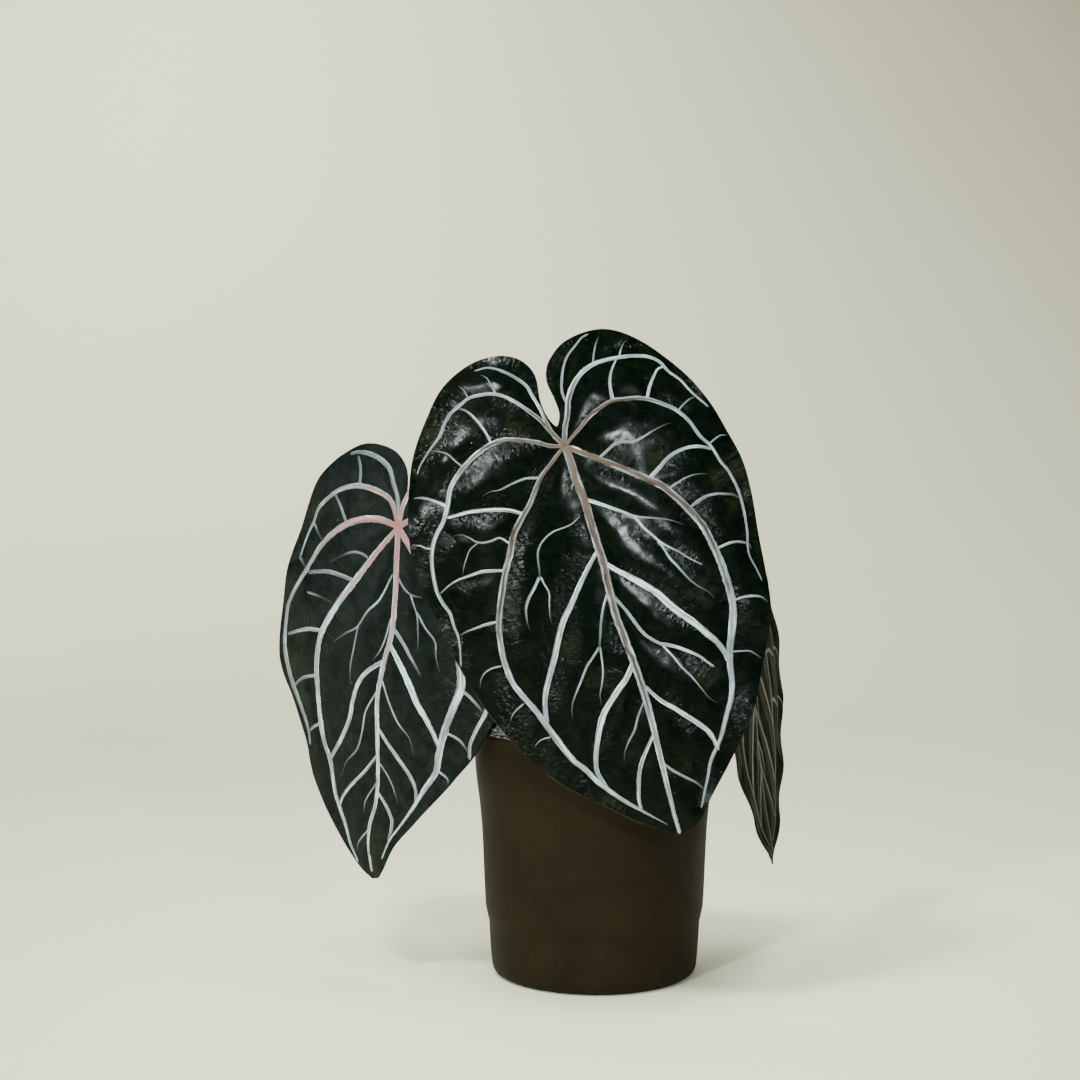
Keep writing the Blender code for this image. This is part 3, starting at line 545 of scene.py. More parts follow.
class Leaf:
    """Where a leaf hangs, which way it faces, how its flat drawing is bent, and its relief."""

    def __init__(self, name, joint_drawn, joint_y, yaw, lean, roll, cup, arch, lobes_back, wave):
        self.name = name
        self.cup, self.arch, self.lobes_back, self.wave = cup, arch, lobes_back, wave
        turn, tilt, spin = radians(yaw), radians(lean), radians(roll)
        self.tip_way = Vector((sin(spin), -cos(spin)))
        facing = Vector((sin(turn), -cos(turn), 0))
        self.across = Vector((cos(turn), sin(turn), 0))
        self.up = cos(tilt) * Vector((0, 0, 1)) - sin(tilt) * facing
        self.face = self.across.cross(self.up)
        sight = sight_line(joint_drawn)
        self.joint = EYE + sight * ((joint_y - EYE.y) / sight.y)
        self.pixel = (joint_y - EYE.y) / FOCAL_LENGTH_DRAWN

    def flat_from_drawn(self, point):
        """Carries a drawn point along its line of sight onto the bent leaf, step by step."""
        sight = sight_line(point)
        flat = Vector((0, 0))
        for _ in range(SIGHT_STEPS):
            to_surface = self.joint - EYE + self.face * self.bend(flat)
            reach = to_surface.dot(self.face) / sight.dot(self.face)
            offset = EYE + sight * reach - self.joint
            flat = Vector((offset.dot(self.across), offset.dot(self.up)))
        return flat

    def in_space(self, flat, height):
        return self.joint + self.across * flat.x + self.up * flat.y + self.face * height

    def bend(self, flat):
        """Height of the bent leaf without its waves and veins."""
        along = flat.dot(self.tip_way)
        side = self.tip_way.cross(flat)
        return -self.cup * side ** 2 - (self.arch if along > 0 else self.lobes_back) * along ** 2

    def draw(self, outline, veins):
        """Keeps the flat outline, from tip to tip, and the flat veins."""
        self.margin = smooth_curve(outline, MARGIN_STEP)[:-1]
        self.margin_samples = smooth_curve(outline, SAMPLE_STEP)
        self.margin_tree = tree_of(self.margin_samples)
        self.veins = veins
        strong = [vein for vein in veins if vein.kind != FINE]
        self.strong_tree = tree_of([p for vein in strong for p in vein.samples])
        self.strong_places = [
            (i * SAMPLE_STEP, vein.seed) for vein in strong for i in range(len(vein.samples))]
        self.fine_tree = tree_of([p for vein in veins if vein.kind == FINE for p in vein.samples])

    def vein_gaps(self, flat):
        """How far the nearest strong vein and the nearest fine one are."""
        return self.strong_tree.find(flat.to_3d())[2], self.fine_tree.find(flat.to_3d())[2]

    def lane(self, flat):
        """How far along the nearest strong vein a place lies and how far from it, in mm, and which it is."""
        _, nearest, gap = self.strong_tree.find(flat.to_3d())
        far, seed = self.strong_places[nearest]
        return (far * 1000, gap * 1000, seed)

    def surface(self, flat):
        """Height of the upper face above the plane of the leaf."""
        place = flat.to_3d()
        _, nearest, from_margin = self.margin_tree.find(place)
        here = self.margin_samples[nearest]
        step = self.margin_samples[(nearest + 1) % len(self.margin_samples)] - here
        past = max(-0.5, min(0.5, (flat - here).dot(step) / max(step.length_squared, 1e-9)))
        turn = 2 * pi * WAVES_ROUND_MARGIN * (nearest + past) / len(self.margin_samples)
        from_joint = min(1.0, flat.length / CALM_ROUND_JOINT)
        wave = self.wave * sin(turn) * exp(-from_margin / WAVE_FADE) * from_joint ** 2
        strong_gap, fine_gap = self.vein_gaps(flat)
        quilt = VALLEY_DEPTH * (1 - exp(-(strong_gap / VALLEY_REACH) ** 2))
        quilt += FINE_VALLEY_DEPTH * (1 - exp(-(fine_gap / FINE_VALLEY_REACH) ** 2))
        ripple = RIPPLE_HEIGHT * noise.noise(place / RIPPLE_SPREAD) * min(1, strong_gap / VALLEY_REACH)
        return self.bend(flat) + wave + quilt + ripple


def drawn_leaf(name, joint, tip, outline, veins, stretch, pose):
    """A leaf drawn in the picture. The widths of its veins are seen foreshortened by the stretch."""
    leaf = Leaf(name, joint, **pose)
    half = leaf.pixel * stretch / 2
    start = outline.index(tip)
    from_tip = outline[start:] + outline[:start + 1]

    def carried(points):
        return [leaf.flat_from_drawn(p) for p in points]

    leaf.draw(carried(from_tip), [
        Vein(i, looks, [w * half * FINENESS[looks[0]] for w in widths], carried(points))
        for i, (*looks, widths, points) in enumerate(veins)
    ])
    return leaf


def measured_leaf(name, joint, pose):
    """The leaf that is seen edge-on, from its half outline in millimetres."""
    leaf = Leaf(name, joint, **pose)

    def near_half(points):
        return [(-x * RIGHT_NEAR_HALF_WIDTH, y) for x, y in points]

    def metres(points):
        return [Vector(p) / 1000 for p in points]

    outline = [RIGHT_TIP] + near_half(RIGHT_HALF_OUTLINE[::-1]) + [RIGHT_NOTCH]
    outline += RIGHT_HALF_OUTLINE + [RIGHT_TIP]
    halves = RIGHT_VEINS + [(*looks, near_half(points)) for *looks, points in RIGHT_VEINS[1:]]
    leaf.draw(metres(outline), [
        Vein(i, looks, [w / 2000 for w in widths], metres(points))
        for i, (*looks, widths, points) in enumerate(halves)
    ])
    return leaf


def new_object(name, data):
    made = bpy.data.objects.new(name, data)
    bpy.context.scene.collection.objects.link(made)
    return made


def add_piece(mesh, materials, slot, *stands_for):
    """Adds a mesh as a piece of the plant that rides with it."""
    piece = new_object(mesh.name, mesh)
    for material in materials:
        mesh.materials.append(material)
    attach(piece, "root")
    if stands_for:
        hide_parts(*stands_for)
    return piece


def set_values(mesh, name, kind, values):
    """Writes a value for each point of a mesh."""
    attribute = mesh.attributes.new(name, kind, "POINT")
    key = "vector" if kind == "FLOAT_VECTOR" else "value"
    attribute.data.foreach_set(key, np.asarray(values, np.float32).ravel())


def smooth_mesh(name, points, faces):
    """A smoothly shaded mesh with its faces pointing out."""
    mesh = bpy.data.meshes.new(name)
    mesh.from_pydata(points, [], faces)
    shape = bmesh.new()
    shape.from_mesh(mesh)
    bmesh.ops.recalc_face_normals(shape, faces=shape.faces)
    shape.to_mesh(mesh)
    shape.free()
    mesh.shade_smooth()
    return mesh


def blade_cells(leaf):
    """Flat points and faces of a blade: its margin, filled with an even net of triangles."""
    loop = np.array([tuple(p) for p in leaf.margin])
    low, high = loop.min(0), loop.max(0)
    row_step = CELL * sqrt(3) / 2
    grid = np.array([
        (low[0] + (column + row % 2 / 2) * CELL, low[1] + row * row_step)
        for row in range(int((high[1] - low[1]) / row_step) + 1)
        for column in range(int((high[0] - low[0]) / CELL) + 1)
    ])
    kept = [Vector(p) for p in grid[inside(grid, loop)]]
    kept = [p for p in kept if leaf.margin_tree.find(p.to_3d())[2] > CLEAR_OF_MARGIN]
    inside_only, tolerance = 1, 1e-7
    points, _, cells, *_ = delaunay_2d_cdt(
        leaf.margin + kept, [], [list(range(len(loop)))], inside_only, tolerance)
    return points, cells


def streak_shares(points, cells, lanes):
    """How freely each point may be streaked: not where the lanes of two veins meet."""
    seams = set()
    for cell in cells:
        fars, _, seeds = zip(*(lanes[i] for i in cell))
        if len(set(seeds)) > 1 or max(fars) - min(fars) > LANE_JUMP:
            seams.update(cell)
    seam_tree = tree_of([points[i] for i in sorted(seams)])
    return [min(1.0, max(0.0, seam_tree.find(p.to_3d())[2] - CELL) / STREAK_FADE) for p in points]


def make_blade(leaf, materials):
    """The blade as one closed skin: upper face, lower face and a rounded margin."""
    points, cells = blade_cells(leaf)
    total = len(points)
    heights = [leaf.surface(p) for p in points]
    sides = {(a, b) for cell in cells for a, b in zip(cell, list(cell[1:]) + [cell[0]])}
    rim = sorted((a, b) for a, b in sides if (b, a) not in sides)
    following = dict(rim)
    before = {b: a for a, b in rim}
    turned = sorted(following)
    rim_index = {a: 2 * total + i for i, a in enumerate(turned)}
    corners = [leaf.in_space(p, h) for p, h in zip(points, heights)]
    corners += [leaf.in_space(p, h - SKIN) for p, h in zip(points, heights)]
    # Painted highlight: each margin point is lightened by how far its edge faces the lower left
    painted_edge_highlight = [0.0] * (2 * total)
    for a in turned:
        way = (points[following[a]] - points[before[a]]).normalized()
        outwards = Vector((way.y, -way.x))
        corners.append(leaf.in_space(points[a] + outwards * MARGIN_ROUND, heights[a] - SKIN / 2))
        painted_edge_highlight.append(max(0.0, outwards.dot(HIGHLIGHT_EDGE_WAY)))
    faces = [tuple(cell) for cell in cells]
    faces += [tuple(i + total for i in reversed(cell)) for cell in cells]
    kinds = [0] * len(cells) + [1] * len(cells) + [2] * (2 * len(rim))
    for a, b in rim:
        faces.append((b, a, rim_index[a], rim_index[b]))
        faces.append((rim_index[b], rim_index[a], a + total, b + total))
    mesh = bpy.data.meshes.new(f"leaf_{leaf.name}_blade")
    mesh.from_pydata(corners, [], faces)
    mesh.polygons.foreach_set("material_index", kinds)
    lanes = [leaf.lane(p) for p in points]
    for name, kind, values in (
        ("flat", "FLOAT_VECTOR", [p.to_3d() / FLAT_UNIT for p in points]),
        ("lane", "FLOAT_VECTOR", lanes),
        ("vein_gap", "FLOAT", [min(leaf.vein_gaps(p)) * 1000 for p in points]),
        ("streaked", "FLOAT", streak_shares(points, cells, lanes)),
    ):
        set_values(mesh, name, kind, values + values + [values[a] for a in turned])
    set_values(mesh, "painted_edge_highlight", "FLOAT", painted_edge_highlight)
    mesh.shade_smooth()
    mesh.set_sharp_from_angle(angle=BLADE_SHARP)
    add_piece(mesh, materials, "leaf_blade", f"blade_{leaf.name}")


class Strands:
    """Many strands gathered in one mesh, each a closed body."""

    def __init__(self):
        self.points, self.faces, self.lanes, self.tints, self.whites = [], [], [], [], []

    def add(self, rings, lanes, tints, whites):
        """Adds rings of points, joined one after the other, with both ends closed."""
        start = len(self.points)
        size = len(rings[0])
        for ring, lane, tint, white in zip(rings, lanes, tints, whites):
            self.points += ring
            self.lanes += lane
            self.tints += [tint] * size
            self.whites += [white] * size
        for k in range(len(rings) - 1):
            a, b = start + k * size, start + (k + 1) * size
            for i in range(size):
                j = (i + 1) % size
                self.faces.append((a + i, a + j, b + j, b + i))
        last = start + (len(rings) - 1) * size
        self.faces += [tuple(range(start + size - 1, start - 1, -1)), tuple(range(last, last + size))]

    def mesh(self, name):
        mesh = smooth_mesh(name, self.points, self.faces)
        set_values(mesh, "lane", "FLOAT_VECTOR", self.lanes)
        set_values(mesh, "tint", "FLOAT", self.tints)
        set_values(mesh, "white", "FLOAT", self.whites)
        return mesh


def end_taper(from_end, half_width):
    """Rounds the end of a strand."""
    reach = min(1.0, from_end / max(END_LENGTH * half_width, 1e-6))
    return END_SIZE + (1 - END_SIZE) * sqrt(max(0.0, 1 - (1 - reach) ** 2))


def add_strand(strands, leaf, vein, section, height, narrower, level, side):
    """Lays a strand along a vein, on the upper face (side 1) or the lower one (side -1)."""
    walked = lengths_walked(vein.line)
    whole = walked[-1]
    widest = max(vein.half_widths) * narrower
    rings, lanes, tints, whites = [], [], [], []
    for point, way, far in zip(vein.line, headings(vein.line), walked):
        share = far / whole
        from_end = min(far, whole - far)
        half = max(LEAST_HALF_WIDTH, between(vein.half_widths, share) * narrower)
        half *= 1 + RAGGED * noise.noise(Vector((far * RAGGED_SCALE, vein.seed * SEED_APART, side)))
        half *= end_taper(from_end, half)
        tall = height * min(1.0, LEAST_RISE + (1 - LEAST_RISE) * half / max(widest, 1e-6))
        tall *= end_taper(from_end, half * 2)
        sideways = Vector((-way.y, way.x))
        places = [(offset, side * lift * tall) for offset, lift in section]
        places += [(end[0] * SUNK_NARROWER, -side * SUNK) for end in (section[-1], section[0])]
        ring = []
        for offset, lift in places:
            flat = point + sideways * (offset * half)
            ring.append(leaf.in_space(flat, leaf.surface(flat) + level + lift))
        rings.append(ring)
        lanes.append([(offset, far * 1000, vein.seed) for offset, _ in places])
        tints.append(max(0.0, 1 - share / vein.tinted) if vein.tinted else 0.0)
        whites.append(vein.white - WHITE_FADE[vein.kind] * share ** 2)
    strands.add(rings, lanes, tints, whites)


def make_strands(leaf, name, material, section, heights, narrower, level, side):
    """The veins, which stand a little proud of the upper face, or the ribs on the lower one."""
    strands = Strands()
    for vein in leaf.veins:
        add_strand(strands, leaf, vein, section, heights[vein.kind], narrower, level, side)
    add_piece(strands.mesh(f"leaf_{leaf.name}_{name}"), [material], "leaf_blade")


class Stalk:
    """A leaf stalk from its socket in the crown to the back of its blade."""

    def __init__(self, name, leaf, foot, rise, rise_length, reach_length):
        self.name = name
        self.rise = Vector(rise).normalized()
        start = Vector((*foot, CROWN_TOP)) - self.rise * (SOCKET_DEPTH - GAP)
        end = leaf.joint - leaf.face * STALK_END_DEPTH
        self.bends = [start, start + self.rise * rise_length, end - leaf.face * reach_length, end]

    def line(self, first, last, pieces):
        """Points from one share of the stalk's length to another."""
        a, b, c, d = self.bends
        shares = [first + (last - first) * k / pieces for k in range(pieces + 1)]
        return [a * (1 - f) ** 3 + b * (3 * f * (1 - f) ** 2) + c * (3 * f ** 2 * (1 - f)) + d * f ** 3
                for f in shares]


def add_tube(strands, line, radius_at, sides, tints, groove=0.0):
    """A tube round a line in space. A groove runs along the side that faces up at the start."""
    ways = headings(line)
    side = ways[0].orthogonal().normalized()
    rings, lanes = [], []
    for point, way, far in zip(line, ways, lengths_walked(line)):
        side = (side - way * side.dot(way)).normalized()
        other = way.cross(side)
        ring, lane = [], []
        for k in range(sides):
            turn = 2 * pi * k / sides
            radius = radius_at(far, turn) * (1 - groove * exp(-((turn - pi) / GROOVE_WIDTH) ** 2))
            ring.append(point + (side * cos(turn) + other * sin(turn)) * radius)
            lane.append((cos(turn), far * 1000, sin(turn)))
        rings.append(ring)
        lanes.append(lane)
    strands.add(rings, lanes, tints, tints)


def make_stalk(stalk, material):
    """A round stalk with a shallow groove, a thicker foot and the swelling that turns the blade."""
    line = stalk.line(0, 1, STALK_PIECES)
    whole = lengths_walked(line)[-1]

    def radius_at(far, turn):
        foot = max(0, 1 - far / FOOT_LENGTH) * (STALK_FOOT_RADIUS - STALK_RADIUS)
        near_blade = max(0, 1 - (whole - far) / SWELLING_LENGTH)
        swelling = sin(min(1, near_blade * SWELLING_RISE) * pi / 2) * (SWELLING_RADIUS - STALK_RADIUS)
        wobble = WOBBLE * noise.noise(Vector((far * WOBBLE_SCALE, cos(turn), sin(turn))))
        return STALK_RADIUS + foot + swelling + wobble

    left_over = [1 - k / STALK_PIECES for k in range(STALK_PIECES + 1)]
    tints = [max(0.0, 1 - share * whole / TINTED_LENGTH) for share in left_over]
    strands = Strands()
    add_tube(strands, line, radius_at, STALK_SIDES, tints, STALK_GROOVE)
    add_piece(strands.mesh(f"stalk_{stalk.name}"), [material], "leaf_stalk", f"petiole_{stalk.name}")


def lathe(profile, steps, ripple=lambda x, y, z: (x, y, z)):
    """A closed body turned about the vertical axis from (radius, height) points, axis to axis."""
    points, faces = [(0, 0, profile[0][1])], []
    rings = profile[1:-1]
    for radius, height in rings:
        for k in range(steps):
            turn = 2 * pi * k / steps
            points.append(ripple(radius * cos(turn), radius * sin(turn), height))
    points.append((0, 0, profile[-1][1]))
    last = len(points) - 1
    for k in range(steps):
        j = (k + 1) % steps
        faces.append((0, 1 + j, 1 + k))
        faces.append((last, last - steps + k, last - steps + j))
        for i in range(len(rings) - 1):
            a = 1 + i * steps
            faces.append((a + k, a + j, a + steps + j, a + steps + k))
    return points, faces


def wall_radius(height):
    """Radius of the outer wall at a height."""
    for (r0, z0), (r1, z1) in zip(OUTER_WALL, OUTER_WALL[1:]):
        if z0 <= height <= z1:
            return r0 + (r1 - r0) * (height - z0) / (z1 - z0)
    return OUTER_WALL[-1][0]


def make_pot(material):
    """The moulded pot, with its drainage holes cut through the floor."""
    spans = [
        (FOOT_ROUND, 0.0006), (FOOT_ROUND[-1:] + HEEL[:2], 0.003), (HEEL[1:3], 0.0006),
        (HEEL[2:], 0.0010), (HEEL[-1:] + WALL + FLARE + LIP[:1], 0.004),
    ]
    outer = [tuple(p) for points, step in spans for p in smooth_curve(points, step)[:-1]]
    outer += [tuple(p) for p in smooth_curve(LIP + [LIP_INSIDE], 0.00025)]
    inner_heights = np.linspace(LIP[0][1], POT_FLOOR + INSIDE_CORNER, INNER_RINGS)
    inner = [(wall_radius(z) - POT_WALL, z) for z in inner_heights]
    inner += [(inner[-1][0] - INSIDE_CORNER, POT_FLOOR)]
    underside = [(r, 0) for r in [0] + FLOOR_RADII]
    floor = [(r, POT_FLOOR) for r in FLOOR_RADII[::-1] + [0]]
    mesh = smooth_mesh("pot", *lathe(underside + outer + inner + floor, TURN_STEPS))
    pot = add_piece(mesh, [material], "pot_plastic", "nursery_pot")
    cutter_shape = bmesh.new()
    for i in range(DRAIN_HOLES):
        place = Matrix.Translation((*polar(DRAIN_RING_RADIUS, 2 * pi * i / DRAIN_HOLES), POT_FLOOR / 2))
        bmesh.ops.create_cone(
            cutter_shape, cap_ends=True, segments=DRAIN_HOLE_SIDES, depth=3 * POT_FLOOR, matrix=place,
            radius1=DRAIN_HOLE_RADIUS, radius2=DRAIN_HOLE_RADIUS)
    cutter_mesh = bpy.data.meshes.new("drain_cutter")
    cutter_shape.to_mesh(cutter_mesh)
    cutter_shape.free()
    cutter = new_object("drain_cutter", cutter_mesh)
    boolean = pot.modifiers.new("drains", "BOOLEAN")
    boolean.operation = "DIFFERENCE"
    boolean.object = cutter
    cut_mesh = bpy.data.meshes.new_from_object(pot.evaluated_get(bpy.context.evaluated_depsgraph_get()))
    pot.modifiers.clear()
    pot.data = cut_mesh
    bpy.data.objects.remove(cutter)
    cut_mesh.set_sharp_from_angle(angle=POT_SHARP)


def mix_height(x, y):
    """Height of the mix's lumpy top."""
    place = Vector((x, y, 0))
    mound = MOUND_HEIGHT * exp(-(place - MOUND_PLACE).length_squared / MOUND_SPREAD ** 2)
    return MIX_TOP + mound + sum(height * noise.noise(place / spread) for height, spread in LUMPS)


def make_mix(material):
    """The bed of potting mix that fills the pot."""
    edge = wall_radius(MIX_TOP) - POT_WALL - GAP
    low = POT_FLOOR + GAP
    heights = np.linspace(low, MIX_TOP - MIX_EDGE, MIX_SIDE_RINGS)
    sides = [(wall_radius(z) - POT_WALL - GAP, z) for z in heights]
    top = [(edge * (1 - k / MIX_RINGS), MIX_TOP) for k in range(MIX_RINGS)]

    def ripple(x, y, z):
        return (x, y, mix_height(x, y)) if z > MIX_TOP - MIX_EDGE / 2 else (x, y, z)

    points, faces = lathe([(0, low)] + sides + top + [(0, MIX_TOP)], MIX_STEPS, ripple)
    points[-1] = (0, 0, mix_height(0, 0))
    add_piece(smooth_mesh("mix_bed", points, faces), [material], "potting_mix", "potting_mix")


def scattered(draw, count, least_radius, most_radius, apart):
    """Places on the mix, kept a little apart, from a seeded draw."""
    places = []
    while len(places) < count:
        radius = sqrt(draw.uniform(least_radius ** 2, most_radius ** 2))
        place = polar(radius, draw.uniform(0, 2 * pi))
        if all((place - other).length > apart for other in places) or draw.random() < CROWDED_SHARE:
            places.append(place)
    return places


def heaped_grains():
    """Places of the pale grains that lie on the mound at the back left of the wall."""
    places = []
    for k in range(HEAPED_GRAINS):
        turn = HEAP_TURN + HEAP_HALF_ANGLE * (2 * (k * HEAP_TURN_STEP % 1) - 1)
        radius = HEAP_RADIUS - HEAP_DEPTH * (k * HEAP_DEPTH_STEP % 1) ** HEAP_CROWDING
        places.append((polar(radius, turn), HEAPED_SIZE))
    return places


def make_chips(name, count, seed, sizes, flatness, roughness, apart, material, extra=()):
    """Loose chips or grains on the mix, gathered in one mesh. The extra ones lie on the mound."""
    draw = random.Random(seed)
    whole = bmesh.new()
    shade = whole.verts.layers.float.new("shade")
    spots = scattered(draw, count, CROWN_RADIUS + CLEAR_OF_CROWN, wall_radius(MIX_TOP) - CLEAR_OF_WALL, apart)
    spots = [(spot, 1.0) for spot in spots if (spot - MOUND_PLACE.xy).length > MOUND_CLEAR] + list(extra)
    for spot, share in spots:
        size = draw.uniform(*sizes) * share
        made = bmesh.ops.create_icosphere(whole, subdivisions=2, radius=1.0)["verts"]
        tone = draw.random() * share
        offset = Vector([draw.uniform(0, 50) for _ in range(3)])
        length, width = draw.uniform(*CHIP_LENGTHS), draw.uniform(*CHIP_WIDTHS)
        scale = Vector((size * length, size * width, size * flatness))
        turn = Matrix.Rotation(draw.uniform(0, 2 * pi), 3, "Z")
        for axis in "XY":
            turn = turn @ Matrix.Rotation(draw.uniform(*CHIP_TILT), 3, axis)
        height = mix_height(spot.x, spot.y) + size * flatness * draw.uniform(*CHIP_LIFT)
        for vertex in made:
            place = vertex.co * (1 + roughness * noise.noise(vertex.co * CHIP_NOISE_SCALE + offset))
            vertex.co = turn @ (place * scale) + Vector((spot.x, spot.y, height))
            vertex[shade] = tone
    mesh = bpy.data.meshes.new(name)
    whole.to_mesh(mesh)
    whole.free()
    if extra:
        mesh.shade_smooth()
    else:
        mesh.set_sharp_from_angle(angle=CHIP_SHARP)
    add_piece(mesh, [material], "potting_mix")


def make_crown(material):
    """The short stem that the stalks grow from, ringed by old leaf scars."""
    profile = [(0, CROWN_LOW)]
    for k in range(CROWN_RINGS + 1):
        share = k / CROWN_RINGS
        radius = CROWN_RADIUS * (CROWN_FOOT + (1 - CROWN_FOOT) * min(1.0, share / CROWN_FOOT_END) ** 0.6)
        radius *= sqrt(max(0.0, 1 - max(0.0, (share - CROWN_ROUND_FROM) / CROWN_ROUND_LENGTH) ** 3))
        from_scar = share * SCARS % 1 - 0.5
        scar = SCAR_HEIGHT * exp(-(from_scar / SCAR_WIDTH) ** 2) * (share < SCARS_END)
        height = CROWN_LOW + (CROWN_TOP - CROWN_LOW) * share
        profile.append((max(radius + scar, CROWN_LEAST_RADIUS), height))
    profile.append((0, CROWN_TOP))

    def ripple(x, y, z):
        place = Vector((x, y, z))
        swell = 1 + sum(height * noise.noise(place / spread) for height, spread in CROWN_LUMPS)
        return (x * swell, y * swell, z)

    mesh = smooth_mesh("crown_stem", *lathe(profile, CROWN_STEPS, ripple))
    add_piece(mesh, [material], "crown_stem", "crown")


def make_sheaths(stalks, material):
    """The dry, papery sheath left at the foot of each stalk: a thin strip curled round it."""
    strands = Strands()
    for number, stalk in enumerate(stalks):
        seam = Matrix.Rotation(SHEATH_SEAM_STEP * number + SHEATH_SEAM, 3, stalk.rise)
        side = seam @ stalk.rise.orthogonal().normalized()
        other = stalk.rise.cross(side)
        rings, lanes, tints = [], [], []
        for k, point in enumerate(stalk.line(*SHEATH_SPAN, SHEATH_PIECES)):
            share = k / SHEATH_PIECES
            spread = SHEATH_HALF_TURN * (1 - share) ** 0.7 + SHEATH_END_HALF_TURN
            radius = STALK_FOOT_RADIUS + SHEATH_GAP + SHEATH_FLARE * share ** 3
            radius += SHEATH_WAVE * sin(7 * share)
            turns = np.linspace(-spread, spread, SHEATH_TURNS)
            edge = [(t, 0.0) for t in turns] + [(t, SHEATH_THICKNESS) for t in turns[::-1]]
            rings.append([
                point + (side * cos(t) + other * sin(t))
                * (radius + SHEATH_CRUMPLE * sin(5 * t + 3 * share) - inwards)
                for t, inwards in edge
            ])
            lanes.append([(t, share * 20, number) for t, _ in edge])
            tints.append(share)
        strands.add(rings, lanes, tints, tints)
    add_piece(strands.mesh("crown_sheaths"), [material], "crown_stem")


def make_roots(material):
    """Thick aerial roots that run from the crown down into the mix."""
    draw = random.Random(11)
    strands = Strands()
    shares = [k / ROOT_PIECES for k in range(ROOT_PIECES + 1)]

    def raised(place, height):
        return place + Vector((0, 0, MIX_TOP + height))

    for i in range(ROOTS):
        turn = 2 * pi * (i + draw.uniform(-ROOT_UNEVEN, ROOT_UNEVEN)) / ROOTS + 0.4
        out = polar(1, turn).to_3d()
        bow = Vector((-out.y, out.x, 0)) * draw.uniform(-ROOT_BOW, ROOT_BOW)
        reach = draw.uniform(*ROOT_REACH)
        start = raised(out * CROWN_RADIUS * 0.8, draw.uniform(*ROOT_START_HEIGHT))
        middle = raised(out * (CROWN_RADIUS + reach * 0.5) + bow, draw.uniform(*ROOT_MIDDLE_HEIGHT))
        end = raised(out * (CROWN_RADIUS + reach) + bow * 2, ROOT_END_HEIGHT)
        line = [start * (1 - f) ** 2 + middle * (2 * f * (1 - f)) + end * f ** 2 for f in shares]

        def radius_at(far, angle, seed=i):
            place = Vector((far * ROOT_WOBBLE_SCALE, angle, seed * ROOT_SEED_APART))
            return ROOT_RADIUS * (1 + ROOT_WOBBLE * noise.noise(place))

        add_tube(strands, line, radius_at, ROOT_SIDES, shares)
    add_piece(strands.mesh("crown_roots"), [material], "crown_stem")


class Value:
    """A node's output. Arithmetic on it adds nodes."""

    def __init__(self, surface, socket):
        self.surface, self.socket = surface, socket

    def __add__(self, other):
        return self.surface.math("ADD", self, other)

    def __sub__(self, other):
        return self.surface.math("SUBTRACT", self, other)

    def __mul__(self, other):
        return self.surface.math("MULTIPLY", self, other)

    def __abs__(self):
        return self.surface.math("ABSOLUTE", self)

    def parts(self):
        node = self.surface.node("SeparateXYZ", Vector=self)
        return [Value(self.surface, output) for output in node.outputs]


class Surface:
    """A material and short ways to add and link its nodes."""

    def __init__(self, name, roughness, specular):
        self.material = bpy.data.materials.new(name)
        self.material.use_nodes = True
        self.tree = self.material.node_tree
        self.shader = self.tree.nodes["Principled BSDF"]
        self.shader.inputs["Roughness"].default_value = roughness
        self.shader.inputs["Specular IOR Level"].default_value = specular

    def put(self, socket, value):
        """Sets an input to a plain value, or links it to another node's output."""
        if isinstance(value, Value):
            self.tree.links.new(value.socket, socket)
        elif socket.type == "RGBA":
            socket.default_value = (*value, 1)
        else:
            socket.default_value = value

    def node(self, kind, settings=(), **inputs):
        node = self.tree.nodes.new("ShaderNode" + kind)
        for key, value in dict(settings).items():
            setattr(node, key, value)
        for key, value in inputs.items():
            self.put(node.inputs[key.replace("_", " ")], value)
        return node

    def value(self, output, kind, settings=(), **inputs):
        return Value(self, self.node(kind, settings, **inputs).outputs[output])

    def math(self, operation, *values):
        node = self.node("Math", {"operation": operation})
        for socket, value in zip(node.inputs, values):
            self.put(socket, value)
        return Value(self, node.outputs[0])

    def scalar(self, name):
        return self.value("Fac", "Attribute", {"attribute_name": name})

    def vector(self, name):
        return self.value("Vector", "Attribute", {"attribute_name": name})

    def place(self, stretch=None):
        """Place on the plant in metres, stretched or not."""
        place = self.value("Object", "TexCoord")
        return self.value("Vector", "Mapping", Vector=place, Scale=stretch) if stretch else place

    def joined(self, x, y, z):
        return self.value("Vector", "CombineXYZ", X=x, Y=y, Z=z)

    def noise(self, vector, scale, detail, rough=0.55, warp=0.0):
        return self.value("Fac", "TexNoise", Vector=vector, Scale=scale, Detail=detail, Roughness=rough,
                          Distortion=warp)

    def cells(self, vector, scale, output, feature="F1"):
        return self.value(output, "TexVoronoi", {"feature": feature}, Vector=vector, Scale=scale)

    def ranged(self, value, low, high, to_low=0.0, to_high=1.0):
        """Eases from one value to the other between two limits."""
        return self.value("Result", "MapRange", {"interpolation_type": "SMOOTHSTEP"}, Value=value,
                          From_Min=low, From_Max=high, To_Min=to_low, To_Max=to_high)

    def mixed(self, factor, first, second):
        node = self.node("Mix", {"data_type": "RGBA"}, Factor=factor)
        for socket, value in zip([s for s in node.inputs if s.type == "RGBA"], (first, second)):
            self.put(socket, value)
        return Value(self, [s for s in node.outputs if s.type == "RGBA"][0])

    def over(self, colour, other, *eased):
        """Blends another colour over one, by a value eased between limits."""
        return self.mixed(self.ranged(*eased), colour, other)

    def bump(self, height, distance, strength, **over):
        return self.value("Normal", "Bump", Height=height, Distance=distance, Strength=strength, **over)

    def finish(self, colour, normal=None, roughness=None):
        for name, value in (("Base Color", colour), ("Normal", normal), ("Roughness", roughness)):
            if value is not None:
                self.put(self.shader.inputs[name], value)
        return self.material


